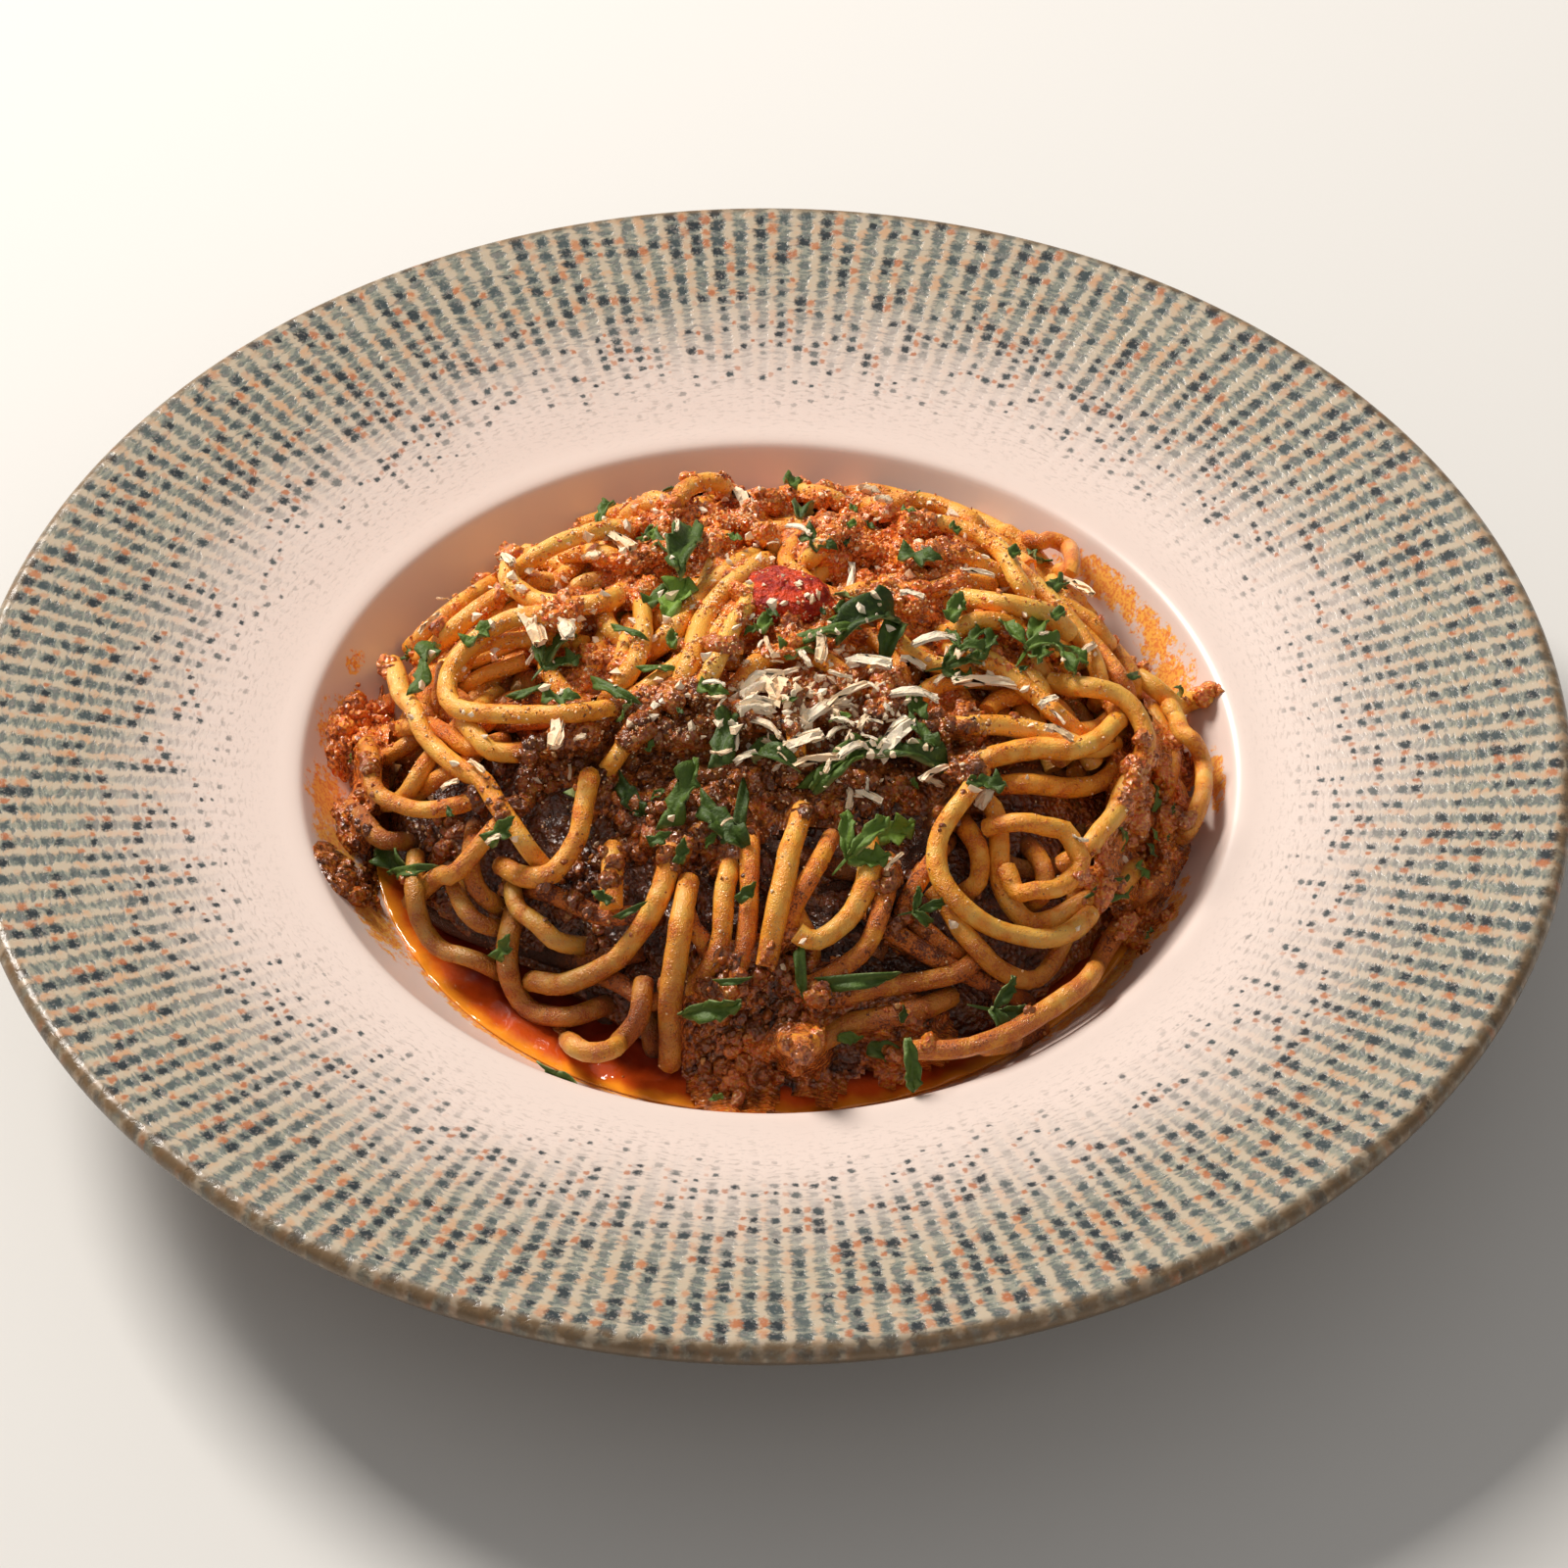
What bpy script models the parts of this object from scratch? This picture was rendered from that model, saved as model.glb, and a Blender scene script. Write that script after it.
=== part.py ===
"""Spaghetti bolognese in a wide-rimmed pasta bowl.

The bowl is one turned shell: a foot ring, a deep well and a broad, gently
dished rim. The well holds a pool of oily sauce and, standing out of it, one
heap of spaghetti whose outline is the tangle's own: a domed mound with the
loops and hanging ends of its outer strands fused on. Patches of minced-meat
sauce and a chunk of tomato lie in hollows of the heap.

Frame: millimetres times MM, +Z up, origin on the table at the centre of the
foot ring. -Y is the front of the plate.
"""

import math

import bmesh
import bpy
from mathutils import Vector, noise

MM = 0.001

# Bowl
BOWL_SEGMENTS = 56
RIM_RADIUS = 140.0
RIM_TOP = 42.0
EDGE_RADIUS = 2.2
LIP_RADIUS = 82.7
LIP_HEIGHT = 31.4
FLOOR_HEIGHT = 8.0
FLOOR_RADIUS = 45.0
WELL_POWER = 2.5
FOOT_OUTER = 54.5
FOOT_INNER = 50.0
FOOT_RECESS = 2.7

# Sauce
SAUCE_LEVEL = 17.0
SAUCE_INNER = 61.0

# Heap
HEAP_TOP = 53.0
HEAP_VOXEL = 1.5
HEAP_TRIANGLES_KEPT = 0.07
STRAND_RADIUS = 2.0
STRAND_LIFT = 2.2

# Free space between pieces: the usual one, that of a hollow in the heap or round
# the tomato, and the least one left where the heap's facets stray
GAP = 0.35
HOLLOW_GAP = 0.9
TOUCH_GAP = 0.05

COLLECTION = "spaghetti_bolognese"
CUTTERS = "cutters"


# Scene and materials

def clear_scene():
    for item in list(bpy.data.objects):
        bpy.data.objects.remove(item, do_unlink=True)


def collection(name):
    made = bpy.data.collections.new(name)
    bpy.context.scene.collection.children.link(made)
    return made


def material(name, colour, roughness):
    made = bpy.data.materials.new(name)
    made.use_nodes = True
    shader = made.node_tree.nodes["Principled BSDF"]
    shader.inputs["Base Color"].default_value = (*colour, 1.0)
    shader.inputs["Roughness"].default_value = roughness
    return made


def add_object(name, mesh, into, finish=None):
    made = bpy.data.objects.new(name, mesh)
    into.objects.link(made)
    if finish:
        mesh.materials.append(finish)
    return made


def hide_cutter(cutter):
    cutter.hide_render = True
    cutter.display_type = "WIRE"
    return cutter


def add_cutter(name, mesh, into):
    return hide_cutter(add_object(name, mesh, into))


def smooth(mesh, sharp_degrees=40.0):
    mesh.shade_smooth()
    mesh.set_sharp_from_angle(angle=math.radians(sharp_degrees))


# Turned shapes

def well_height(radius):
    """Height of the well's inner face at a distance from the axis."""
    past_floor = max(radius - FLOOR_RADIUS, 0.0) / (LIP_RADIUS - 0.5 - FLOOR_RADIUS)
    return FLOOR_HEIGHT + (LIP_HEIGHT - FLOOR_HEIGHT) * past_floor ** WELL_POWER


def well_profile(lift=0.0, rows=9, last=81.0):
    """Points from the axis out along the well's inner face, raised by lift."""
    points = [(0.0, FLOOR_HEIGHT + lift)]
    for row in range(rows + 1):
        radius = FLOOR_RADIUS + (last - FLOOR_RADIUS) * row / rows
        points.append((radius, well_height(radius) + lift))
    return points


def bowl_profile():
    points = well_profile()
    points.append((LIP_RADIUS, LIP_HEIGHT - 0.35))
    points.append((LIP_RADIUS + 2.6, LIP_HEIGHT + 0.45))
    edge_x = RIM_RADIUS - EDGE_RADIUS
    edge_z = RIM_TOP - EDGE_RADIUS
    for degrees in (100, 65, 32, 0, -38, -78):
        angle = math.radians(degrees)
        points.append((edge_x + EDGE_RADIUS * math.cos(angle),
                       edge_z + EDGE_RADIUS * math.sin(angle)))
    points += [(86.0, 26.6), (80.0, 21.0), (73.0, 12.8), (64.0, 6.4)]
    points += [(FOOT_OUTER + 1.5, 3.4), (FOOT_OUTER, 0.0), (FOOT_INNER, 0.0)]
    points += [(FOOT_INNER - 1.0, FOOT_RECESS), (0.0, FOOT_RECESS)]
    return points


def turned(name, profile, into, finish=None, closed=False):
    """A profile of (radius, height) points turned about the Z axis."""
    mesh = bpy.data.meshes.new(name)
    vertices = [(x * MM, 0.0, z * MM) for x, z in profile]
    edges = [(i, i + 1) for i in range(len(vertices) - 1)]
    if closed:
        edges.append((len(vertices) - 1, 0))
    mesh.from_pydata(vertices, edges, [])
    made = add_object(name, mesh, into, finish)
    screw = made.modifiers.new("turn", "SCREW")
    screw.axis = "Z"
    screw.steps = BOWL_SEGMENTS
    screw.render_steps = BOWL_SEGMENTS
    screw.use_merge_vertices = True
    screw.merge_threshold = 0.00005
    screw.use_smooth_shade = True
    return made


def sauce_profile():
    """The ring of sauce that shows between the heap and the well's wall."""
    outer = 70.0
    points = [(SAUCE_INNER, SAUCE_LEVEL), (outer, SAUCE_LEVEL)]
    for step in range(4):
        radius = outer - (outer - SAUCE_INNER) * step / 3
        points.append((radius, min(well_height(radius) + GAP, SAUCE_LEVEL - 0.25)))
    return points


def make_bowl_rooms(into):
    """What the bowl and the sauce take up, with the gap: cutters for all that lies on them."""
    beyond = LIP_RADIUS + 6.0
    below = -20.0
    top = SAUCE_LEVEL + GAP
    inner = SAUCE_INNER - GAP
    well = well_profile(GAP) + [(beyond, LIP_HEIGHT + 3.0), (beyond, below), (0.0, below)]
    ring = [(inner, top), (beyond, top), (beyond, below), (inner, below)]
    rooms = [turned("bowl_room", well, into), turned("pool_room", ring, into, closed=True)]
    for room in rooms:
        hide_cutter(room)
    return rooms


# The heap

def heap_edge(angle):
    """Radius, height and shoulder sharpness of the mound's edge round the well."""
    back = (1.0 + math.sin(angle)) / 2.0
    radius = 67.5 + 5.5 * math.cos(angle) ** 2 - 5.5 * back ** 3
    height = SAUCE_LEVEL + 5.0 * math.cos(angle) ** 2 + 3.0 * back
    shoulder = 1.15 + 1.7 * back ** 2
    return radius, height, shoulder


def heap_height(x, y):
    """Height of the mound's top over a point of the plan."""
    edge, low, shoulder = heap_edge(math.atan2(y, x))
    share = min(math.hypot(x, y) / edge, 1.0)
    return low + (HEAP_TOP - low) * (1.0 - share ** 3) ** (1.0 / shoulder)


def mound_mesh():
    """A sphere moved onto the mound: domed above its edge, a plain drum below."""
    body = bmesh.new()
    bmesh.ops.create_uvsphere(body, u_segments=72, v_segments=40, radius=1.0)
    for vertex in body.verts:
        unit = vertex.co.normalized()
        angle = math.atan2(unit.y, unit.x)
        edge, low, shoulder = heap_edge(angle)
        across = math.hypot(unit.x, unit.y)
        if unit.z >= 0.0:
            radius = edge * across ** (2.0 / 3.0)
            height = low + (HEAP_TOP - low) * unit.z ** (2.0 / shoulder)
        else:
            radius = edge * across ** (2.0 / 3.0)
            height = low + (FLOOR_HEIGHT - 6.0 - low) * (-unit.z) ** 0.5
        place = Vector((radius * math.cos(angle), radius * math.sin(angle), height))
        coarse = noise.noise(place / 17.0)
        fine = noise.noise(place / 7.0 + Vector((3.0, 0.0, 0.0)))
        place += (2.2 * coarse + 1.1 * fine) * unit
        vertex.co = place * MM
    mesh = bpy.data.meshes.new("mound")
    body.to_mesh(mesh)
    body.free()
    return mesh


# Outer strands that shape the heap's outline, in plan, from end to end.
BIG_LOOP = [(-33, -11), (-43, -8), (-53, -2), (-56, 6), (-54, 13), (-46, 17), (-37, 13), (-34, 7)]
LEFT_SWEEP = [(-50, -10), (-44, -15), (-37, -16), (-27, -12), (-18, -5), (-10, 5), (-3, 20)]
CROSSING = [(-67, 20), (-62, 6), (-58, -6), (-51, -17), (-46, -24), (-41, -33)]
OUTER_LEFT = [(-66, 4), (-67, -4), (-64, -11), (-58, -17), (-50, -20)]
DIAGONAL = [(-27, -27), (-20, -15), (-13, -3), (-6, 10), (0, 23)]
FRONT_LEFT_LOOP = [(-61, -24), (-60, -34), (-55, -41), (-48, -46), (-41, -47)]
FRONT_SWEEP = [(-17, -40), (-19, -47), (-25, -52), (-34, -54)]
FRONT_THICK = [(-45, -44), (-42, -51), (-36, -56), (-29, -57)]
FRONT_LOW = [(-35, -58), (-29, -62), (-21, -61), (-17, -56)]
HANGING_LEFT = [(-13, -44), (-14, -52), (-16, -62)]
HANGING_MIDDLE = [(7, -36), (4, -46), (1, -56)]
HANGING_RIGHT = [(17, -40), (15, -47), (8, -52), (4, -51)]
LOW_RIGHT = [(8, -56), (15, -57), (23, -55), (32, -50)]
RIGHT_LOOP = [(37, -25), (31, -30), (29, -37), (34, -44), (44, -46), (53, -42)]
RIGHT_RING = [(40, -29), (48, -26), (53, -28), (53, -33), (48, -37), (40, -39), (38, -33), (38, -26)]
RIGHT_OUTER = [(47, 11), (57, 11), (64, 8), (66, 1), (64, -9), (60, -20), (56, -29)]
RIGHT_INNER = [(33, -13), (42, -10), (52, -7), (57, -2), (50, 2), (40, 4)]
WALL_RIGHT = [(64, -30), (60, -38), (52, -47), (42, -54), (31, -60)]
BACK_LEFT = [(-50, 33), (-42, 40), (-32, 44), (-22, 43), (-15, 36)]
BACK_LOOP = [(-22, 40), (-20, 49), (-14, 53), (-8, 50), (-7, 42)]
BACK_RIGHT = [(14, 46), (24, 48), (36, 44), (47, 36), (55, 26)]
BACK_RIGHT_LOW = [(22, 40), (34, 37), (44, 31), (50, 22), (46, 14)]
STRANDS = [BIG_LOOP, LEFT_SWEEP, CROSSING, OUTER_LEFT, DIAGONAL, FRONT_LEFT_LOOP, FRONT_SWEEP,
           FRONT_THICK, FRONT_LOW, HANGING_LEFT, HANGING_MIDDLE, HANGING_RIGHT, LOW_RIGHT,
           RIGHT_LOOP, RIGHT_RING, RIGHT_OUTER, RIGHT_INNER, WALL_RIGHT, BACK_LEFT, BACK_LOOP,
           BACK_RIGHT, BACK_RIGHT_LOW]


def rounded_route(points, steps=3):
    """Points of a Catmull-Rom curve through a route's own points."""
    ends = [points[0]] + list(points) + [points[-1]]
    route = []
    for before, start, end, after in zip(ends, ends[1:], ends[2:], ends[3:]):
        for step in range(steps):
            t = step / steps
            route.append(tuple(
                0.5 * (2 * b + (c - a) * t + (2 * a - 5 * b + 4 * c - d) * t ** 2
                       + (3 * b - a - 3 * c + d) * t ** 3)
                for a, b, c, d in zip(before, start, end, after)))
    route.append(tuple(points[-1]))
    return route


def strand_mesh(name, points):
    """A round strand lying half sunk on the mound, as a closed mesh."""
    curve = bpy.data.curves.new(name, "CURVE")
    curve.dimensions = "3D"
    curve.bevel_depth = STRAND_RADIUS * MM
    curve.bevel_resolution = 2
    curve.use_fill_caps = True
    route = rounded_route(points)
    line = curve.splines.new("POLY")
    line.points.add(len(route) - 1)
    for point, (x, y) in zip(line.points, route):
        point.co = (x * MM, y * MM, (heap_height(x, y) + STRAND_LIFT) * MM, 1.0)
    guide = bpy.data.objects.new(name, curve)
    bpy.context.scene.collection.objects.link(guide)
    evaluated = guide.evaluated_get(bpy.context.evaluated_depsgraph_get())
    mesh = bpy.data.meshes.new_from_object(evaluated)
    bpy.data.objects.remove(guide, do_unlink=True)
    return mesh


def heap_mesh():
    """The mound and its outer strands in one mesh, still overlapping."""
    body = bmesh.new()
    body.from_mesh(mound_mesh())
    for index, points in enumerate(STRANDS):
        body.from_mesh(strand_mesh(f"strand_{index:02d}", points))
    bmesh.ops.remove_doubles(body, verts=body.verts, dist=0.000005)
    mesh = bpy.data.meshes.new("spaghetti_heap")
    body.to_mesh(mesh)
    body.free()
    return mesh


def subtract(target, *cutters):
    for cutter in cutters:
        cut = target.modifiers.new(f"clear_{cutter.name}", "BOOLEAN")
        cut.operation = "DIFFERENCE"
        cut.solver = "EXACT"
        cut.object = cutter


def fuse(target, name):
    remesh = target.modifiers.new(name, "REMESH")
    remesh.mode = "VOXEL"
    remesh.voxel_size = HEAP_VOXEL * MM
    remesh.use_smooth_shade = True


def make_heap(parts, finish, hollows, bowl_cutters):
    heap = add_object("spaghetti_heap", heap_mesh(), parts, finish)
    fuse(heap, "fuse")
    subtract(heap, *hollows)
    fuse(heap, "even_out")
    thin = heap.modifiers.new("thin", "DECIMATE")
    thin.ratio = HEAP_TRIANGLES_KEPT
    subtract(heap, *bowl_cutters)
    return heap


# Meat sauce and tomato on the heap

# Each patch: centre in plan, half length and width, half thickness, turn in degrees.
RAGU_PATCHES = {
    "ragu_top": ((3.0, 2.0), 27.0, 40.0, 4.2, 4.0),
    "ragu_left": ((-74.0, -8.0), 5.0, 15.0, 4.0, -6.0),
    "ragu_right": ((71.5, -14.0), 6.0, 16.0, 4.0, -10.0),
    "ragu_front": ((7.0, -64.5), 21.0, 4.8, 3.6, 3.0),
}
TOMATO = ((2.0, 15.0), 8.0, 5.5, 5.0, -25.0)


def lump_mesh(name, patch, height, segments=18, rings=8):
    """A flattened ball laid over the heap, with a ragged outline and a lumpy top."""
    (centre_x, centre_y), half_x, half_y, half_z, turn = patch
    body = bmesh.new()
    bmesh.ops.create_uvsphere(body, u_segments=segments, v_segments=rings, radius=1.0)
    turn = math.radians(turn)
    for vertex in body.verts:
        unit = vertex.co.normalized()
        ragged = 1.0 + 0.30 * noise.noise(unit * 2.1 + Vector((centre_x, centre_y, 0.0)))
        lumpy = 1.0 + 0.75 * noise.noise(unit * 4.6 + Vector((centre_y, centre_x, 5.0)))
        along = unit.x * half_x * ragged
        across = unit.y * half_y * ragged
        x = centre_x + along * math.cos(turn) - across * math.sin(turn)
        y = centre_y + along * math.sin(turn) + across * math.cos(turn)
        z = height(x, y) + unit.z * half_z * lumpy
        vertex.co = Vector((x, y, z)) * MM
    mesh = bpy.data.meshes.new(name)
    body.to_mesh(mesh)
    body.free()
    return mesh


def evaluated_mesh(source):
    return bpy.data.meshes.new_from_object(
        source.evaluated_get(bpy.context.evaluated_depsgraph_get()))


def room_mesh(lump, gap):
    """The same shape grown by a gap all round: the room that it needs."""
    body = bmesh.new()
    body.from_mesh(lump)
    body.normal_update()
    grown = [vertex.co + vertex.normal * gap * MM for vertex in body.verts]
    for vertex, place in zip(body.verts, grown):
        vertex.co = place
    mesh = bpy.data.meshes.new(f"{lump.name}_room")
    body.to_mesh(mesh)
    body.free()
    return mesh


def ragu_level(x, y):
    """Meat sauce lies on the heap, and at its foot on the pool and the wall."""
    return max(heap_height(x, y) + 0.8, SAUCE_LEVEL + 1.5)


def tomato_level(x, y):
    return heap_height(x, y) + 4.0


def main():
    clear_scene()
    parts = collection(COLLECTION)
    cutters = collection(CUTTERS)

    glaze = material("glazed_stoneware", (0.78, 0.66, 0.58), 0.32)
    oil = material("oily_sauce", (0.48, 0.07, 0.02), 0.12)
    pasta = material("pasta", (0.86, 0.52, 0.18), 0.38)
    ragu = material("ragu", (0.32, 0.09, 0.04), 0.45)
    tomato = material("tomato", (0.62, 0.06, 0.02), 0.25)

    turned("bowl", bowl_profile(), parts, glaze)
    turned("sauce_pool", sauce_profile(), parts, oil, closed=True)
    bowl_rooms = make_bowl_rooms(cutters)

    chunk = add_object("tomato_chunk", lump_mesh("tomato_chunk", TOMATO, tomato_level, 12, 8),
                       parts, tomato)
    tomato_room = add_cutter("tomato_room", room_mesh(chunk.data, HOLLOW_GAP), cutters)
    smooth(chunk.data)

    patches = []
    hollows = []
    for name, patch in RAGU_PATCHES.items():
        piece = add_object(name, lump_mesh(name, patch, ragu_level), parts, ragu)
        hollows.append(add_cutter(f"{name}_room", room_mesh(piece.data, HOLLOW_GAP), cutters))
        patches.append(piece)
    heap = make_heap(parts, pasta, hollows, bowl_rooms)
    heap_room = add_cutter("heap_room", room_mesh(evaluated_mesh(heap), GAP), cutters)
    heap_touch = add_cutter("heap_touch", room_mesh(evaluated_mesh(heap), TOUCH_GAP), cutters)

    for piece in patches:
        smooth(piece.data)
        on_top = piece.name == "ragu_top"
        around = [tomato_room] if on_top else bowl_rooms
        subtract(piece, *around, heap_room, heap_touch)


main()
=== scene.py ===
# %% [markdown]
# # Spaghetti bolognese in a wide-rimmed bowl
# On the table this is one warm serving: a glazed pasta bowl with a deep well, a tangle of spaghetti that
# was turned into a heap, meat sauce on and between the strands, and parsley and grated cheese on top. The
# bowl and the heap already exist as plain solids. This lesson keeps their sizes and makes what the eye
# sees, piece by piece: first the camera, the light and the bowl, then the food from the bottom of the well
# to the last herb.

# %% Load the plain solids
import math

import bpy
import numpy as np
from mathutils import Matrix, Vector, noise
from mathutils.bvhtree import BVHTree
from mathutils.kdtree import KDTree


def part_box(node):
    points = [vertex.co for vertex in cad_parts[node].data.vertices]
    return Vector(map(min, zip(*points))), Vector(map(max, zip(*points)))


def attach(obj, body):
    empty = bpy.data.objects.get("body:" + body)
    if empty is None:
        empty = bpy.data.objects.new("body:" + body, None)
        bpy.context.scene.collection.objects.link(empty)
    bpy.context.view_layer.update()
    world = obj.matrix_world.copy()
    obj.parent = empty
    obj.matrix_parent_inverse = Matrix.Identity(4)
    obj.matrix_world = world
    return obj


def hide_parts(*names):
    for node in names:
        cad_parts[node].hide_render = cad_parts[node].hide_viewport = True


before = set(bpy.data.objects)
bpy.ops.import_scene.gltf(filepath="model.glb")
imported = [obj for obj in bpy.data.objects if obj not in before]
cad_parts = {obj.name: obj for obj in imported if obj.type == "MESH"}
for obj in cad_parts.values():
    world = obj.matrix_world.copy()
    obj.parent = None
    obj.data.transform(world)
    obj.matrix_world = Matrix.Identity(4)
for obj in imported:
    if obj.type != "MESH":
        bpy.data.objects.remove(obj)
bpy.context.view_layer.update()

MM = 0.001
bowl_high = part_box("bowl")[1]
RIM_RADIUS = bowl_high.x / MM
RIM_TOP = bowl_high.z / MM
print("nodes:", sorted(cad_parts))
print("bowl radius and height in mm:", round(RIM_RADIUS, 1), round(RIM_TOP, 1))

# %% [markdown]
# ## The camera
# A plate of food is usually looked at from the chair, about half way between level and straight down. A
# long lens from most of a metre away keeps the bowl's ellipse calm. The target is a point just above the
# food, and the small roll is that of a hand-held camera.

# %% Camera
CAMERA_TARGET = Vector((2.83, -17.23, 42.0)) * MM
CAMERA_DISTANCE = 0.843
CAMERA_ELEVATION = math.radians(45.86)
CAMERA_ROLL = 0.00696
CAMERA_LENS = 112.5


def deselect():
    """Leaves nothing selected, because an operator acts on all that is."""
    bpy.ops.object.select_all(action="DESELECT")


def select_only(piece):
    """Selects one piece and makes it the active one."""
    deselect()
    piece.select_set(True)
    bpy.context.view_layer.objects.active = piece


def triangles(piece):
    return sum(len(face.vertices) - 2 for face in piece.data.polygons)


deselect()
away = Vector((0, -math.cos(CAMERA_ELEVATION), math.sin(CAMERA_ELEVATION)))
turn = Matrix.Rotation(math.pi / 2 - CAMERA_ELEVATION, 3, "X") @ Matrix.Rotation(CAMERA_ROLL, 3, "Z")
eye = CAMERA_TARGET + CAMERA_DISTANCE * away
bpy.ops.object.camera_add(location=eye, rotation=turn.to_euler())
camera = bpy.context.object
camera.name = "camera"
camera.data.lens = CAMERA_LENS
bpy.context.scene.camera = camera
print("camera stands at", [round(c, 3) for c in eye])

# %% [markdown]
# ## Floor and light
# The floor is a plain pale sheet. One soft, warm panel stands high behind the bowl on the left, as a window
# would, so the right wall of the well is bright, the left wall lies in shade and wet food glints towards
# the camera. A wide weak panel in front opens the shadows.

# %% Floor, panels and sky
FLOOR_SIZE = 6.0
FLOOR_COLOUR = (0.745, 0.735, 0.715)
KEY_WATTS = 55.0
FILL_WATTS = 1.8
SKY_STRENGTH = 0.27


def plain_finish(name, colour, roughness):
    """One even colour, for what isn't part of the dish."""
    material = bpy.data.materials.new(name)
    material.use_nodes = True
    shader = material.node_tree.nodes["Principled BSDF"]
    shader.inputs["Base Color"].default_value = (*colour, 1)
    shader.inputs["Roughness"].default_value = roughness
    return material


def light_panel(name, place, width, watts, colour):
    """A square area light that faces the food."""
    deselect()
    bpy.ops.object.light_add(type="AREA", location=place)
    lamp = bpy.context.object
    lamp.name = name
    lamp.rotation_euler = (Vector((0, 0, 0.03)) - Vector(place)).to_track_quat("-Z", "Y").to_euler()
    lamp.data.size = width
    lamp.data.energy = watts
    lamp.data.color = colour
    return lamp


deselect()
bpy.ops.mesh.primitive_plane_add(size=FLOOR_SIZE, location=(0, 0, 0))
floor = bpy.context.object
floor.name = "floor"
floor.data.materials.append(plain_finish("pale floor", FLOOR_COLOUR, 0.9))
light_panel("key", (-1.0, 1.15, 1.36), 0.66, KEY_WATTS, (1.0, 0.945, 0.88))
light_panel("fill", (0.35, -1.0, 1.0), 1.2, FILL_WATTS, (1.0, 0.96, 0.92))
sky = bpy.data.worlds.new("sky")
sky.use_nodes = True
sky.node_tree.nodes["Background"].inputs["Color"].default_value = (1.0, 0.97, 0.94, 1)
sky.node_tree.nodes["Background"].inputs["Strength"].default_value = SKY_STRENGTH
bpy.context.scene.world = sky
bpy.context.scene.view_settings.view_transform = "Standard"

# %% [markdown]
# ## A way to write finishes
# Glaze, sauce and pasta each need a dozen small shader nodes. A finish is easier to read when each node is
# one call, so this helper keeps the material, its node tree and its main shader together. All patterns are
# laid out in millimetres on the piece itself, so they stay where they are when the dish is looked at from
# another side.

# %% Finish helper
class Finish:
    """A material with its main shader and short ways to add nodes to it."""

    def __init__(self, name, **sockets):
        self.material = bpy.data.materials.new(name)
        self.material.use_nodes = True
        self.tree = self.material.node_tree
        self.shader = self.tree.nodes["Principled BSDF"]
        for socket, value in sockets.items():
            self.shader.inputs[socket.replace("_", " ")].default_value = value
        place = self.tree.nodes.new("ShaderNodeTexCoord")
        self.place = self.vector("MULTIPLY", place.outputs["Object"], (1 / MM, 1 / MM, 1 / MM))

    def feed(self, socket, value):
        """Sets a socket to a number or colour, or links another node's output to it."""
        if isinstance(value, bpy.types.NodeSocket):
            self.tree.links.new(value, socket)
        else:
            socket.default_value = value

    def node(self, kind, *values, **settings):
        """A new node with its settings, and its first inputs fed with the values."""
        node = self.tree.nodes.new("ShaderNode" + kind)
        for setting, value in settings.items():
            setattr(node, setting, value)
        for socket, value in zip(node.inputs, values):
            self.feed(socket, value)
        return node

    def vector(self, operation, first, second, output="Vector"):
        return self.node("VectorMath", first, second, operation=operation).outputs[output]

    def math(self, operation, first, second=0.0, third=0.0):
        return self.node("Math", first, second, third, operation=operation).outputs["Value"]

    def times(self, first, second):
        return self.math("MULTIPLY", first, second)

    def plus(self, first, second):
        return self.math("ADD", first, second)

    def minus(self, first, second):
        return self.math("SUBTRACT", first, second)

    def scaled(self, value, factor, offset):
        """The value times a factor, and an offset added."""
        return self.math("MULTIPLY_ADD", value, factor, offset)

    def parts(self, vector):
        return self.node("SeparateXYZ", vector).outputs

    def joined(self, x, y, z=0.0):
        return self.node("CombineXYZ", x, y, z).outputs[0]

    def rise(self, value, low, high, bottom=0.0, top=1.0):
        """Goes smoothly from bottom to top while the value goes from low to high."""
        node = self.node("MapRange", value, low, high, bottom, top, interpolation_type="SMOOTHSTEP")
        return node.outputs["Result"]

    def mix(self, share, first, second):
        """Goes from the first colour to the second; a colour is three numbers or a node's output."""
        node = self.node("Mix", data_type="RGBA")
        colours = [c if isinstance(c, bpy.types.NodeSocket) else (*c, 1) for c in (first, second)]
        for name, value in zip(("Factor_Float", "A_Color", "B_Color"), (share, *colours)):
            self.feed(next(s for s in node.inputs if s.identifier == name), value)
        return next(s for s in node.outputs if s.identifier == "Result_Color")

    def noise(self, scale, detail=3.0, place=None):
        """Soft noise from 0 to 1; scale is in waves for each millimetre."""
        node = self.node("TexNoise", self.place if place is None else place)
        node.inputs["Scale"].default_value = scale
        node.inputs["Detail"].default_value = detail
        return node.outputs["Fac"]

    def cells(self, scale):
        """Distance to the nearest of many random points."""
        node = self.node("TexVoronoi", self.place)
        node.inputs["Scale"].default_value = scale
        return node.outputs["Distance"]

    def chance(self, vector):
        """A random number and colour for each whole vector."""
        node = self.node("TexWhiteNoise", vector)
        return node.outputs["Value"], node.outputs["Color"]

    def own(self, name):
        """A number that the piece's mesh carries for each point."""
        return self.node("Attribute", attribute_name=name).outputs["Fac"]

    def colour(self, value):
        self.feed(self.shader.inputs["Base Color"], value)

    def relief(self, height, depth, strength=1.0):
        """Bumps of the given depth in millimetres."""
        node = self.tree.nodes.new("ShaderNodeBump")
        node.inputs["Distance"].default_value = depth * MM
        node.inputs["Strength"].default_value = strength
        self.feed(node.inputs["Height"], height)
        self.feed(self.shader.inputs["Normal"], node.outputs["Normal"])
        self.feed(self.shader.inputs["Coat Normal"], node.outputs["Normal"])


print("finish helper ready")

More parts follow.
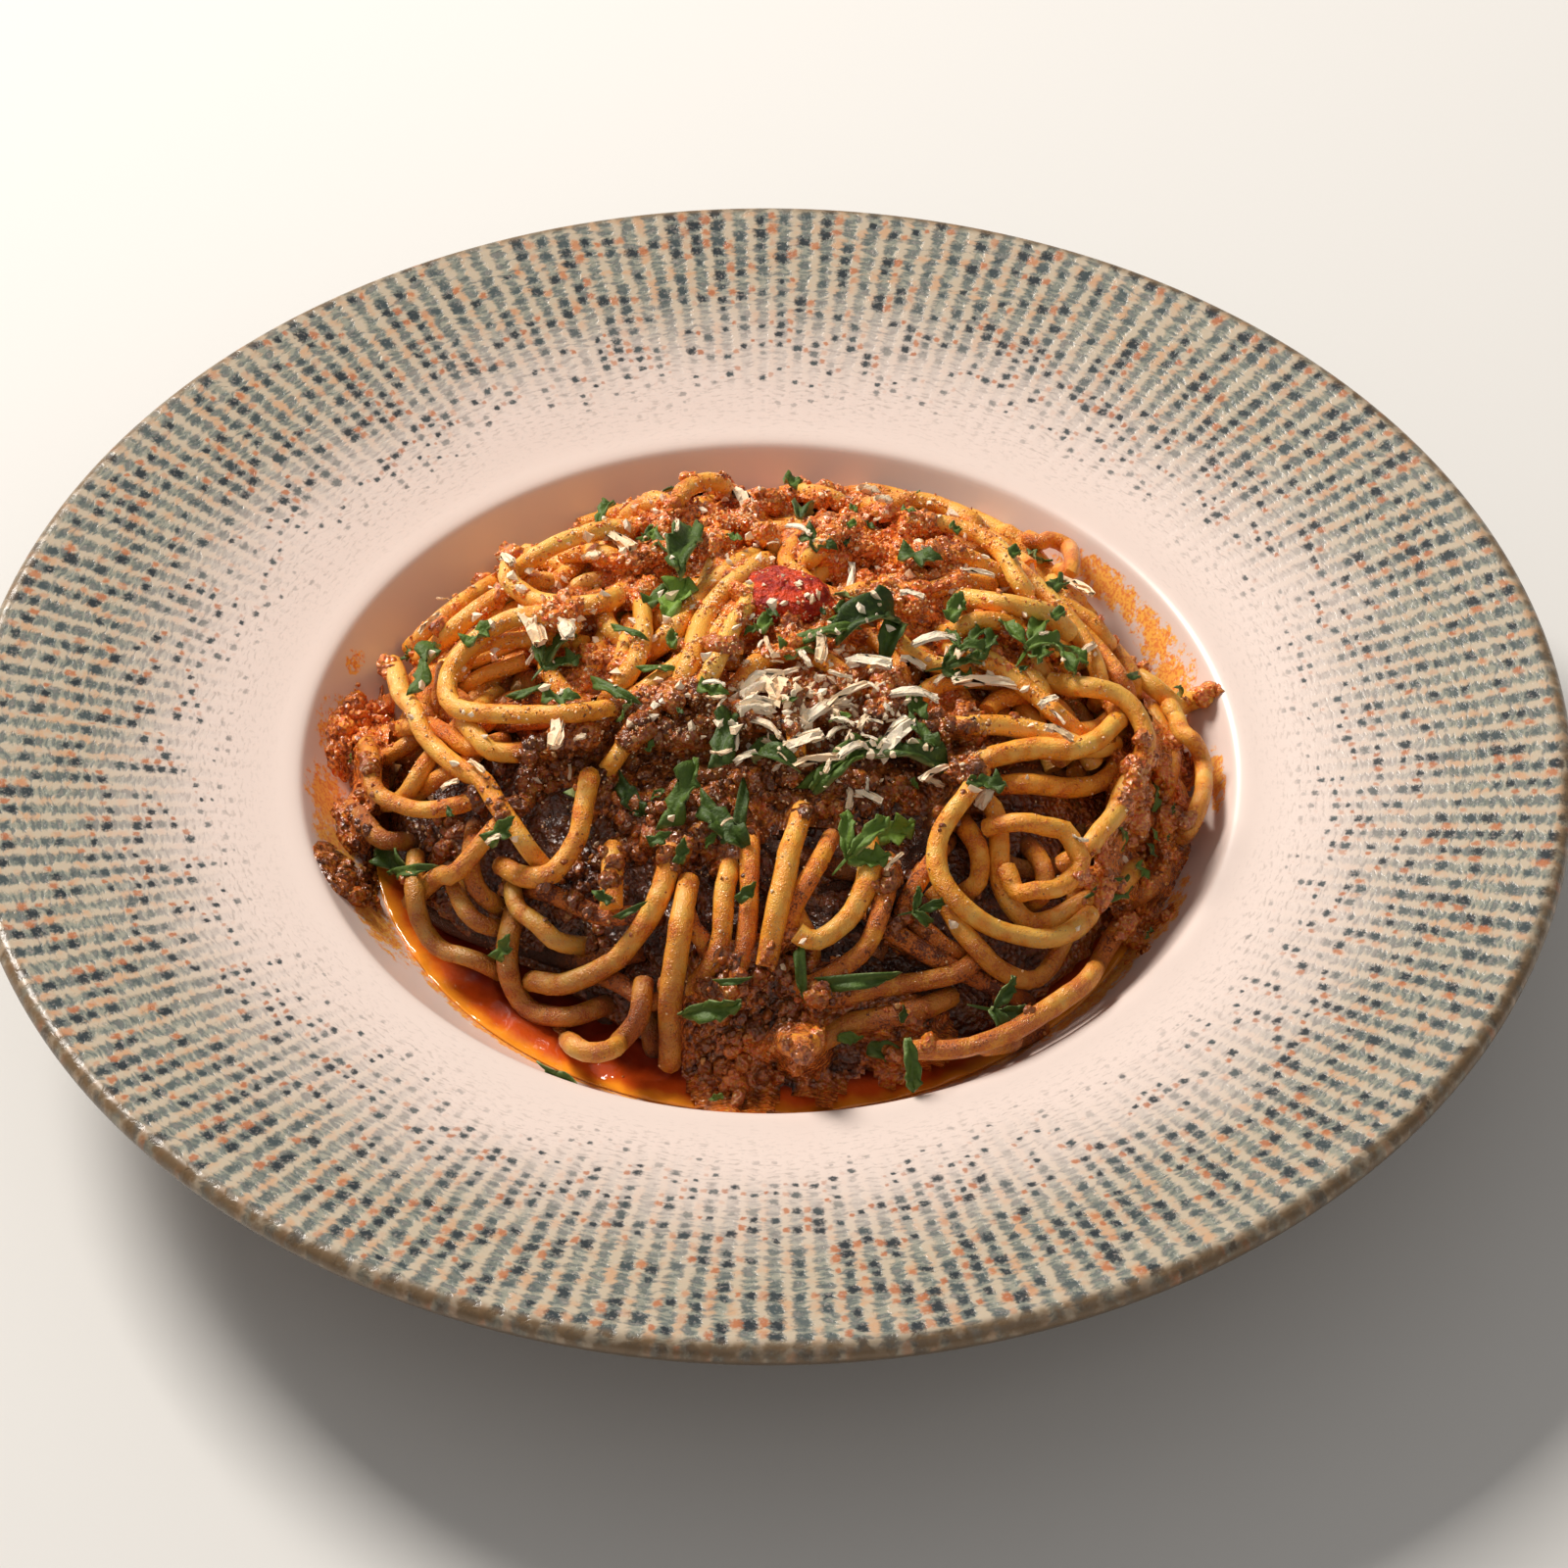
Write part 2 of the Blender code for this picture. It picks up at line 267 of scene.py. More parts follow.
# %% [markdown]
# ## The bowl
# A pasta bowl is thrown on a wheel, so all of it is one outline turned round an axis: a flat foot, a deep
# well with a rounded lip, and a rim that rises gently to a rolled edge. It could be a Screw modifier on a
# profile. Here a ring is extruded and scaled from station to station, as a potter pulls the wall, because
# the ring stays closed all the way and the two middles are simply merged to a point.

# %% Turned pieces
LIP_RADIUS = 82.7
LIP_HEIGHT = 31.4
FLOOR_HEIGHT = 8.0
FLOOR_RADIUS = 45.0
WELL_POWER = 2.5
EDGE_RADIUS = 2.2
RING_POINTS = 256


def well_height(radius):
    """Height of the well's glaze at a distance from the axis, flat floor and then ever steeper wall."""
    past_floor = np.maximum(radius - FLOOR_RADIUS, 0.0) / (LIP_RADIUS - 0.5 - FLOOR_RADIUS)
    return FLOOR_HEIGHT + (LIP_HEIGHT - FLOOR_HEIGHT) * past_floor ** WELL_POWER


def edit_mesh(select="SELECT"):
    """Goes into edit mode with everything selected, or with nothing."""
    bpy.ops.object.mode_set(mode="EDIT")
    bpy.ops.mesh.select_all(action=select)


def faces_outward():
    """Turns all faces outwards and goes back to object mode."""
    bpy.ops.mesh.select_all(action="SELECT")
    bpy.ops.mesh.normals_make_consistent(inside=False)
    bpy.ops.object.mode_set(mode="OBJECT")


def select_ring(piece, radius, height):
    """Selects the points of one turned ring."""
    bpy.ops.object.mode_set(mode="OBJECT")
    for point in piece.data.vertices:
        at = (point.co.to_2d().length / MM, point.co.z / MM)
        point.select = math.dist(at, (radius, height)) < 0.02
    bpy.ops.object.mode_set(mode="EDIT")


def close_middle(height):
    """Turns the selected ring into a flat or shallow cap that ends in one point on the axis."""
    bpy.ops.mesh.extrude_region_move(TRANSFORM_OT_translate={"value": (0, 0, height * MM)})
    bpy.ops.mesh.merge(type="CENTER")


def turned(name, profile, segments):
    """Pulls a ring through (radius, height) stations, from the top's middle round to that underneath."""
    deselect()
    radius, height = profile[0]
    bpy.ops.mesh.primitive_circle_add(vertices=segments, radius=radius * MM, location=(0, 0, height * MM))
    piece = bpy.context.object
    piece.name = name
    bpy.ops.object.transform_apply(location=True, rotation=False, scale=False)
    edit_mesh()
    for next_radius, next_height in profile[1:]:
        bpy.ops.mesh.extrude_region_move(TRANSFORM_OT_translate={"value": (0, 0,
            (next_height - height) * MM)})
        grow = next_radius / radius
        bpy.ops.transform.resize(value=(grow, grow, 1), center_override=(0, 0, 0))
        radius, height = next_radius, next_height
    close_middle(0.0)
    select_ring(piece, *profile[0])
    close_middle(0.0)
    faces_outward()
    bpy.ops.object.shade_smooth()
    return piece


WELL_STATIONS = (4, 20, 36, 44, 48, 52, 56, 60, 64, 68, 71, 74, 77, 79, 80.3, 81.2)
well = [(radius, float(well_height(radius))) for radius in WELL_STATIONS]
RIM_START = (87.5, 32.05)
RIM_SLOPE = 0.1966
lip = [(81.7, 30.55), (82.1, 31.0), (82.6, 31.3), (83.3, 31.52), (84.3, 31.7), (85.7, 31.87), RIM_START]
RIM_STATIONS = (92, 98, 104, 110, 116, 122, 128, 133, 136)
rim = [(radius, RIM_START[1] + (radius - RIM_START[0]) * RIM_SLOPE) for radius in RIM_STATIONS]
edge_middle = (RIM_RADIUS - EDGE_RADIUS, RIM_TOP - EDGE_RADIUS)
edge = []
for degrees in (100, 82, 65, 48, 32, 16, 0, -19, -38, -58, -78):
    across = edge_middle[0] + EDGE_RADIUS * math.cos(math.radians(degrees))
    edge.append((across, edge_middle[1] + EDGE_RADIUS * math.sin(math.radians(degrees))))
under = [(130, 36.0), (120, 33.9), (108, 31.35), (98, 29.2), (90, 27.4), (86, 26.3), (83, 23.9),
    (80, 21.0), (76.5, 16.7)]
foot = [(73, 12.8), (68.5, 9.3), (64, 6.4), (59, 4.2), (55.6, 3.1), (54.9, 2.4), (54.5, 0.9), (54.2, 0.0),
    (50.3, 0.0)]
recess = [(50.0, 0.3), (49.4, 2.5), (49.0, 2.7), (46, 2.7), (6, 2.7)]
bowl = turned("stoneware_bowl", well + lip + rim + edge + under + foot + recess, RING_POINTS)
print("bowl faces:", len(bowl.data.polygons), "size in mm:", [round(d / MM, 1) for d in bowl.dimensions])

# %% [markdown]
# ## The woven glaze
# The rim is decorated like cloth: soft dark marks lie in rows along grey-green bands that run outwards,
# with pale threads between the bands and a few orange marks on the threads. Near the edge the marks are
# dark, and towards the well they shrink and fade into a blush glaze. The pattern is laid out by angle and
# radius. Each band and row gets a whole number, a random value for that pair decides the mark's size, shade
# and strength, and noise pushes the rows about, because a pressed or printed cloth never has two equal
# marks.

# %% Woven glaze
COLUMNS = 196
ROWS_PER_E = 28.6
ROW_ORIGIN = 43.0
BLUSH = (0.80, 0.665, 0.60)
SAGE = (0.315, 0.315, 0.25)
SLATE_BAND = (0.115, 0.145, 0.136)
CREAM_THREAD = (0.545, 0.45, 0.33)
PEACH_THREAD = (0.59, 0.365, 0.215)
NAVY = (0.008, 0.016, 0.024)
SLATE = (0.055, 0.08, 0.085)
ORANGE_MARK = (0.74, 0.28, 0.08)
RUST_MARK = (0.42, 0.12, 0.04)
RAW_EDGE = (0.175, 0.105, 0.048)
# unglazed clay underneath, darkened with painted shade for faces that look down
SHADED_UNDERSIDE = (0.13, 0.09, 0.055)


def marks(finish, column, row, width, length, grown):
    """A field of soft marks: how far each point is inside its mark, and two random numbers of the mark."""
    cell = finish.joined(finish.math("FLOOR", column), finish.math("FLOOR", row))
    number, colours = finish.chance(cell)
    spread = finish.parts(colours)
    across = finish.minus(finish.math("FRACT", column), finish.scaled(spread[0], 0.16, 0.42))
    along = finish.minus(finish.math("FRACT", row), finish.scaled(spread[1], 0.24, 0.38))
    across = finish.math("POWER", finish.math("ABSOLUTE", finish.math("DIVIDE", across, width)), 3.0)
    along = finish.math("POWER", finish.math("ABSOLUTE", finish.math("DIVIDE", along, length)), 3.0)
    distance = finish.math("POWER", finish.plus(across, along), 1.0 / 3.0)
    size = finish.times(finish.scaled(spread[2], 0.6, 0.7), grown)
    blur = finish.scaled(finish.noise(1.7, 3.0), 1.7, -0.85)
    distance = finish.plus(finish.math("DIVIDE", distance, size), blur)
    return finish.rise(distance, 0.5, 1.35, 1.0, 0.0), number, spread[0]


def woven_glaze():
    glaze = Finish("woven glaze", Roughness=0.33)
    x, y, z = glaze.parts(glaze.place)
    radius = glaze.math("SQRT", glaze.plus(glaze.times(x, x), glaze.times(y, y)))
    column = glaze.times(glaze.math("ARCTAN2", y, x), COLUMNS / (2 * math.pi))
    column = glaze.plus(column, glaze.scaled(glaze.noise(0.22, 2.0), 0.24, -0.12))
    row = glaze.math("LOGARITHM", glaze.math("MAXIMUM", glaze.minus(radius, ROW_ORIGIN), 1.0), math.e)
    row = glaze.scaled(glaze.noise(0.25, 2.0), 0.8, glaze.times(row, ROWS_PER_E))
    own_start, _ = glaze.chance(glaze.joined(glaze.math("FLOOR", column), 7.0))
    dark_row = glaze.plus(row, own_start)
    cloud = glaze.noise(0.045, 3.0)
    reach = glaze.scaled(cloud, 16.0, glaze.minus(radius, 8.0))
    fade = glaze.rise(reach, 84.0, 122.0)
    weft_place = glaze.joined(glaze.times(column, 1.5), glaze.times(row, 3.0))
    weft = glaze.noise(1.0, 2.0, weft_place)
    dashes = glaze.rise(weft, 0.42, 0.60)
    stripe = glaze.math("ABSOLUTE", glaze.minus(glaze.math("FRACT", column), 0.5))
    thread = glaze.rise(glaze.plus(stripe, glaze.scaled(weft, -0.9, 0.45)), 0.15, 0.42)
    warm_place = glaze.joined(glaze.times(column, 0.7), glaze.times(row, 0.8), 5.0)
    warm = glaze.rise(glaze.noise(1.0, 3.0, warm_place), 0.47, 0.66)
    cream = glaze.mix(glaze.times(warm, fade), CREAM_THREAD, PEACH_THREAD)
    band = glaze.mix(dashes, SAGE, SLATE_BAND)
    cloth = glaze.mix(thread, band, cream)
    base = glaze.mix(glaze.rise(reach, 91.0, 124.0), BLUSH, cloth)
    faint = glaze.times(glaze.rise(weft, 0.52, 0.68), glaze.rise(reach, 82.0, 96.0, 0.0, 0.42))
    faint = glaze.times(faint, glaze.scaled(thread, -0.7, 1.0))
    base = glaze.mix(faint, base, (0.34, 0.28, 0.24))
    grown = glaze.rise(fade, 0.0, 0.8, 0.6, 1.0)
    dark, number, shade = marks(glaze, column, dark_row, 0.25, 0.34, grown)
    common = glaze.plus(number, glaze.times(fade, 0.42))
    strength = glaze.times(glaze.rise(common, 0.58, 1.0), glaze.rise(fade, 0.02, 0.3))
    ink = glaze.mix(glaze.rise(common, 0.85, 1.25), SLATE, NAVY)
    base = glaze.mix(glaze.times(glaze.times(dark, strength), 0.95), base, ink)
    shifted = glaze.plus(column, 0.5)
    orange, number, shade = marks(glaze, shifted, glaze.plus(row, 0.37), 0.17, 0.27, grown)
    some = glaze.times(glaze.rise(number, 0.5, 0.85), glaze.rise(fade, 0.1, 0.6))
    base = glaze.mix(glaze.times(orange, glaze.times(some, 0.85)), base,
        glaze.mix(shade, ORANGE_MARK, RUST_MARK))
    speckle = glaze.times(glaze.rise(glaze.noise(1.3, 3.0), 0.56, 0.72),
        glaze.rise(radius, 84.0, 92.0, 0.0, 0.35))
    base = glaze.mix(speckle, base, (0.56, 0.47, 0.42))
    raw = glaze.times(glaze.rise(radius, 136.6, 138.8),
        glaze.rise(glaze.noise(0.35, 3.0), 0.35, 0.6, 0.45, 0.95))
    base = glaze.mix(raw, base, RAW_EDGE)
    # painted shade: faces outside the well that look down get the dark underside colour
    facing = glaze.tree.nodes.new("ShaderNodeNewGeometry")
    below = glaze.rise(glaze.parts(facing.outputs["Normal"])[2], -0.3, 0.15, 1.0, 0.0)
    outside = glaze.rise(radius, 80.0, 84.0)
    base = glaze.mix(glaze.times(below, outside), base, SHADED_UNDERSIDE)
    base = glaze.mix(smears(glaze, radius), base, smear_colour(glaze))
    glaze.colour(base)
    pits = glaze.times(glaze.minus(thread, dark), fade)
    glaze.relief(glaze.plus(pits, glaze.noise(0.12, 2.0)), 0.05)
    return glaze.material


# %% [markdown]
# ## Smears on the wall
# When the food was turned out of the pan, oil and fine sauce ran along the wall of the well. These films
# are far thinner than the glaze is uneven, so they are part of the bowl's finish: each smear is a stretch
# of the wall, given by its direction, its distance from the axis and its size, with an edge that noise
# frays into streaks.

# %% Smears
# direction in degrees; half length along the wall, distance from the axis and half height, in mm
SMEARS = [
    (38, 15, 79.0, 1.9), (27, 9, 78.6, 2.2), (20, 8, 76.4, 4.6), (-1, 8, 79.4, 1.3), (12, 9, 73.5, 3.5),
    (172, 9, 76.5, 4.6), (-176, 9, 77.8, 3.4), (-168, 11, 76.5, 4.2), (-156, 12, 74.5, 4.0),
        (160, 3, 79.5, 1.2),
    (-35, 34, 72.4, 2.4), (-22, 9, 75.5, 2.2), (-122, 44, 71.4, 1.3), (-72, 30, 71.3, 1.2),
]


def smears(glaze, radius):
    """How much thin sauce covers each point of the wall."""
    streaks = glaze.scaled(glaze.noise(0.5, 4.0), 2.8, -1.3)
    streaks = glaze.plus(streaks, glaze.scaled(glaze.noise(1.9, 3.0), 1.6, -0.85))
    cover = 0.0
    for degrees, half_length, distance, half_height in SMEARS:
        ahead = (math.cos(math.radians(degrees)), math.sin(math.radians(degrees)), 0.0)
        aside = (-ahead[1] / half_length, ahead[0] / half_length, 0.0)
        along = glaze.math("POWER", glaze.vector("DOT_PRODUCT", glaze.place, aside, "Value"), 2.0)
        up = glaze.math("POWER", glaze.scaled(radius, 1 / half_height, -distance / half_height), 2.0)
        oval = glaze.minus(1.35, glaze.math("SQRT", glaze.plus(along, up)))
        here = glaze.times(oval,
            glaze.math("GREATER_THAN", glaze.vector("DOT_PRODUCT", glaze.place, ahead, "Value"), 0.0))
        cover = glaze.math("MAXIMUM", cover, here)
    frayed = glaze.plus(cover, glaze.times(streaks, glaze.rise(cover, 0.0, 0.5)))
    return glaze.rise(frayed, 0.35, 0.85, 0.0, 0.92)


def smear_colour(glaze):
    return glaze.mix(glaze.rise(glaze.noise(1.6, 4.0), 0.42, 0.62), (1.0, 0.50, 0.05), (0.84, 0.22, 0.015))


bowl.data.materials.append(woven_glaze())
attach(bowl, "root")
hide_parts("bowl")

# %% [markdown]
# ## The shape of the heap
# Spaghetti that was turned on a fork and let down in the well makes a rounded heap: highest near the
# middle, steeper behind, with a low skirt against the wall. All the food is placed from this one dome. A
# dome written as a formula tells for any point how deep inside or how far above the heap it is, and that
# number is enough to lay a strand on it, to keep a strand out of the core and to let a herb fall on top.

# %% Dome of the heap
SAUCE_LEVEL = 17.0
HEAP_TOP = 50.0


def heap_edge(angle):
    """Radius and height of the heap's lowest edge and how square its shoulder is, in a direction."""
    back = (1.0 + np.sin(angle)) / 2.0
    radius = 67.5 + 5.5 * np.cos(angle) ** 2 - 5.5 * back ** 3
    radius = radius - 9.0 * np.exp(-(((angle + 2.25) / 0.42) ** 2))
    height = SAUCE_LEVEL + 5.0 * np.cos(angle) ** 2 + 3.0 * back
    return radius, height, 1.15 + 1.7 * back ** 2


def from_axis(points):
    return np.hypot(points[:, 0], points[:, 1])


def dome_parts(points):
    """The dome's edge, foot and shoulder towards each point, and how far out and up the point is."""
    radius, low, shoulder = heap_edge(np.arctan2(points[:, 1], points[:, 0]))
    height = np.maximum(points[:, 2] - low, 0.0) / (HEAP_TOP - low)
    return radius, low, shoulder, from_axis(points) / radius, height


def dome_value(points):
    """Below 0 inside the dome and above 0 outside it."""
    _, _, shoulder, share, height = dome_parts(points)
    return share ** 3 + height ** shoulder - 1.0


def dome_slope(points):
    """How fast the dome's value grows outwards and upwards at each point."""
    radius, low, shoulder, share, height = dome_parts(points)
    return 3.0 * share ** 2 / radius, shoulder * height ** (shoulder - 1.0) / (HEAP_TOP - low)


def outward(points):
    """Unit directions straight out of the dome."""
    sideways, upwards = dome_slope(points)
    flat = np.maximum(from_axis(points), 1e-6)
    slope = np.column_stack((points[:, 0] / flat * sideways, points[:, 1] / flat * sideways, upwards))
    return slope / (np.linalg.norm(slope, axis=1, keepdims=True) + 1e-9)


def above_heap(points):
    """Distance to the dome in mm, negative inside."""
    value = dome_value(points)
    nearby = value / np.maximum(np.hypot(*dome_slope(points)), 0.008)
    radius, low, shoulder = heap_edge(np.arctan2(points[:, 1], points[:, 0]))
    share = np.minimum(from_axis(points) / radius, 0.97)
    roof = low + (HEAP_TOP - low) * (1.0 - share ** 3) ** (1.0 / shoulder)
    sideways, upwards = dome_slope(np.column_stack((points[:, :2], roof)))
    over_roof = (points[:, 2] - roof) * upwards / np.hypot(sideways, upwards)
    inside_edge = from_axis(points) < radius * 0.97
    return np.where((value > 0.0) & inside_edge, np.maximum(nearby, over_roof), nearby)


def above_wall(points):
    """Distance to the bowl's well in mm, measured square to the wall."""
    radius = np.minimum(from_axis(points), LIP_RADIUS - 2)
    steepness = (well_height(radius + 0.2) - well_height(radius - 0.2)) / 0.4
    return (points[:, 2] - well_height(radius)) / np.sqrt(1.0 + steepness ** 2)


def above_all(points):
    """Distance to what food can lie on: the heap, the wall or the sauce."""
    lowest = np.minimum(above_heap(points), above_wall(points))
    return np.minimum(lowest, points[:, 2] - SAUCE_LEVEL)


print("dome at the middle in mm:", round(float(-above_heap(np.array([[0.0, 0.0, 40.0]]))[0]), 2),
    "deep at z 40")

# %% [markdown]
# ## Places along the line of sight
# A cook builds a plate so that it looks right from the chair. Strands, herbs and cheese are therefore laid
# out on a plan of the heap as it shows from the camera: a smooth guide surface, a little above the real
# dome. Each place on it is slid along the line of sight until it touches what is already there. Seen from
# the chair nothing moves, and from any other side the piece still rests on the food.

# %% From the plan to the food
GUIDE_TOP = 56.0
SIGHT_STEPS = np.arange(46.0, -60.0, -0.5)
eye_mm = np.array(eye) / MM


def guide_points(plan):
    """Points of the guide surface over plan places (x, y) in mm."""
    plan = np.asarray(plan, float)
    back = (1.0 + np.sin(np.arctan2(plan[:, 1], plan[:, 0]))) / 2.0
    share = from_axis(plan) / (71.0 + 7.0 * back)
    low = 17.0 + 11.0 * back
    height = low + (GUIDE_TOP - low) * (1.0 - np.minimum(share, 1.0) ** 3)
    outside = low + (share - 1.0) * (71.0 + 7.0 * back) * 1.2
    return np.column_stack((plan, np.where(share < 1.0, height, np.minimum(outside, LIP_HEIGHT))))


def towards_eye(points):
    way = eye_mm - points
    return way / np.linalg.norm(way, axis=1, keepdims=True)


def plan_of(points):
    """The plan place (x, y) that shows each point in space, seen from the camera."""
    sight = towards_eye(points)
    plan = points[:, :2].copy()
    for _ in range(12):
        rise = points[:, 2] - guide_points(plan)[:, 2]
        plan = 0.5 * plan + 0.5 * (points[:, :2] - sight[:, :2] * (rise / sight[:, 2])[:, None])
    return plan


def slide(plan, lift):
    """Slides plan places along the sight line until they are `lift` mm above all that food can lie on."""
    start = guide_points(plan)
    sight = towards_eye(start)
    lift = np.broadcast_to(np.asarray(lift, float), len(start))
    gaps = np.stack([above_all(start + sight * step) for step in SIGHT_STEPS]) - lift
    first = np.argmax(gaps < 0.0, axis=0)
    missed = ~(gaps < 0.0).any(axis=0)
    first = np.where(missed, np.argmin(gaps, axis=0), first)
    row = np.arange(len(start))
    before, here = gaps[np.maximum(first - 1, 0), row], gaps[first, row]
    part = np.where(missed | (first == 0), 1.0, before / np.maximum(before - here, 1e-6))
    travel = SIGHT_STEPS[np.maximum(first - 1, 0)] * (1 - part) + SIGHT_STEPS[first] * part
    return start + sight * travel[:, None]


print("a place 40 mm in front of the middle slides to", slide([(0.0, -40.0)], 0.0).round(1).tolist())

# %% [markdown]
# ## The pool of sauce
# Oil and juice run out of the meat sauce and collect round the foot of the heap: a shallow, glossy crescent
# that climbs the wall a little at its edge. It is turned like the bowl, and its skin is then pushed up and
# down a few tenths of a millimetre, because a liquid surface with perfectly even reflections looks like
# plastic.

# %% Pool of sauce
POOL_RADIUS = 70.55


def wobble(place, wave, height, seed=0.0):
    """Smooth unevenness at a place, in mm."""
    return height * noise.noise(Vector(place) / wave + Vector((seed, seed, seed)))


skin = [(40, SAUCE_LEVEL)] + [(radius, SAUCE_LEVEL) for radius in range(50, 68)]
skin += [(68, SAUCE_LEVEL + 0.03), (69, SAUCE_LEVEL + 0.12), (69.9, SAUCE_LEVEL + 0.3),
    (POOL_RADIUS + 0.15, SAUCE_LEVEL + 0.5)]
bed = [(radius, float(well_height(radius)) - 0.15) for radius in (69.5, 67, 63, 58, 52, 40)]
pool = turned("sauce_pool_skin", skin + bed, RING_POINTS)
for point in pool.data.vertices:
    place = point.co / MM
    if place.z > SAUCE_LEVEL - 0.01 and place.to_2d().length < POOL_RADIUS - 0.3:
        point.co.z += (wobble(place, 8.0, 0.6) + wobble(place, 3.4, 0.75)) * MM


def pool_finish():
    """Deep red where it is deep, orange oil where it thins out on the wall."""
    sauce = Finish("oily sauce", Roughness=0.07, Coat_Weight=0.6, Coat_Roughness=0.03, IOR=1.45)
    x, y, z = sauce.parts(sauce.place)
    radius = sauce.math("SQRT", sauce.plus(sauce.times(x, x), sauce.times(y, y)))
    edge = sauce.scaled(sauce.noise(0.22, 3.0), 3.4, sauce.minus(radius, 1.7))
    deep = sauce.mix(sauce.noise(0.35, 3.0), (0.10, 0.006, 0.002), (0.30, 0.026, 0.005))
    red = sauce.mix(sauce.rise(edge, 63.0, 67.4), deep, (0.68, 0.090, 0.010))
    sauce.colour(sauce.mix(sauce.rise(edge, 67.2, 70.2), red, (0.95, 0.32, 0.02)))
    sauce.relief(sauce.noise(0.45, 3.0), 0.2)
    return sauce.material


pool.data.materials.append(pool_finish())
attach(pool, "root")
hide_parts("sauce_pool")
print("pool reaches", round(POOL_RADIUS, 1), "mm out, level", SAUCE_LEVEL, "mm")

# %% [markdown]
# ## The core of the heap
# Deep between the strands there is sauce and more spaghetti that nobody sees. A core that is smaller than
# the heap fills that dark space, so that no light shines through. It is a sphere pulled into the dome's
# shape some millimetres under its surface, with lumps as coarse as minced meat, which show wherever strands
# leave a gap. The sauce in front is wetter, and every piece also keeps a number, dark, for each of its
# points, which paints shade into its colour: high in the hollows between lumps and on the side of the heap
# that is turned away from the light.

# %% Core
CORE_DEPTH = 7.5
CORE_RISE = 2.0
CORE_LUMPS = 1.1


def dome_point(unit, depth):
    """The place on the dome, `depth` mm under its surface, for a point of the unit ball's upper half."""
    radius, low, shoulder = heap_edge(math.atan2(unit.y, unit.x))
    flat = math.hypot(unit.x, unit.y)
    reach = (radius - depth) * flat ** (2.0 / 3.0)
    rise = (HEAP_TOP - depth - low) * max(unit.z, 0.0) ** (2.0 / shoulder)
    along = unit.xy.normalized() if flat > 1e-6 else Vector((1.0, 0.0))
    return Vector((along.x * reach, along.y * reach, low + rise))


def front_shade_share(points):
    """Painted shade: 0 on the heap's lit back, 1 on its shaded front; less by the pool and on the right."""
    share = np.clip((12.0 - points[:, 1]) / 26.0, 0.0, 1.0)
    share = share - 0.3 * np.clip((-60.0 - points[:, 1]) / 5.0, 0.0, 1.0)
    return share * (1.0 - 0.45 * np.clip((points[:, 0] - 36.0) / 20.0, 0.0, 1.0))


def lumpy(place, seed):
    """Height of rounded lumps of minced meat: ridges of noise at three sizes."""
    spot = Vector(place)
    big = 1.0 - 2.0 * abs(noise.noise(spot / 5.2 + Vector((seed, 0, 0))))
    middle = 1.0 - 2.0 * abs(noise.noise(spot / 2.6 + Vector((0, seed, 0))))
    small = 1.0 - 2.0 * abs(noise.noise(spot / 1.3 + Vector((0, 0, seed))))
    return 0.6 * big + 0.75 * middle + 0.5 * small


deselect()
bpy.ops.mesh.primitive_uv_sphere_add(segments=256, ring_count=160, radius=1.0)
core = bpy.context.object
core.name = "sauce_core"
for point in core.data.vertices:
    unit = point.co.copy()
    depth = CORE_DEPTH - CORE_RISE * min(max((4.0 - 70.0 * unit.y) / 20.0, 0.0), 1.0)
    place = dome_point(unit, depth)
    if unit.z < 0.0:
        flat = math.hypot(unit.x, unit.y)
        place = dome_point(Vector((unit.x, unit.y, 0.0)) / flat,
            depth) if flat > 1e-6 else Vector((0, 0, 0))
        place.x *= flat
        place.y *= flat
        place.z = max(place.z - 14.0 * -unit.z, float(well_height(place.to_2d().length)) + 0.4)
    lump = CORE_LUMPS * lumpy(place, 1.0)
    point.co = (place + unit * lump) * MM if unit.z > 0.0 else place * MM
select_only(core)
edit_mesh()
bpy.ops.mesh.remove_doubles(threshold=0.02 * MM)
faces_outward()
bpy.ops.object.shade_smooth()


def ragu_finish(name, wet):
    """Minced meat in tomato: brown grains, red pulp, orange oil and crumbs of fat, with small wet glints."""
    ragu = Finish(name, Roughness=0.40 - 0.18 * wet, Coat_Weight=0.4 + 0.4 * wet, Coat_Roughness=0.07)
    grain = ragu.noise(1.1, 4.0)
    meat = ragu.mix(ragu.rise(grain, 0.40, 0.60), (0.26, 0.040, 0.007), (0.94, 0.27, 0.045))
    pulp = ragu.mix(ragu.rise(ragu.noise(1.7, 2.0), 0.38, 0.66), (0.82, 0.12, 0.009), (0.98, 0.38, 0.032))
    mixture = ragu.mix(ragu.rise(ragu.noise(0.19, 3.0), 0.38, 0.62, 0.08, 0.9), meat, pulp)
    tone = ragu.own("tone")
    mixture = ragu.mix(ragu.rise(tone, 0.35, 0.7, 0.0, 0.85), mixture, pulp)
    mixture = ragu.mix(ragu.rise(tone, 0.85, 1.0, 0.0, 0.85), mixture, (0.94, 0.50, 0.16))
    # painted shade: the number dark turns the colour towards near black on the heap's front and in hollows
    dark = ragu.rise(ragu.own("dark"), 0.0, 0.88)
    with_painted_shade = ragu.mix(dark, mixture, (0.040, 0.009, 0.003))
    spots = ragu.rise(ragu.cells(1.25), 0.15, 0.25, 1.0, 0.0)
    fat = ragu.times(spots, ragu.rise(ragu.noise(0.3, 2.0), 0.44, 0.58, 0.1, 0.8))
    # the pale crumbs of fat fade where shade is painted
    fat = ragu.times(fat, ragu.rise(ragu.own("dark"), 0.25, 0.7, 1.0, 0.15))
    ragu.colour(ragu.mix(fat, with_painted_shade, (0.92, 0.52, 0.26)))
    ragu.relief(ragu.plus(grain, ragu.cells(0.95)), 0.5)
    return ragu.material


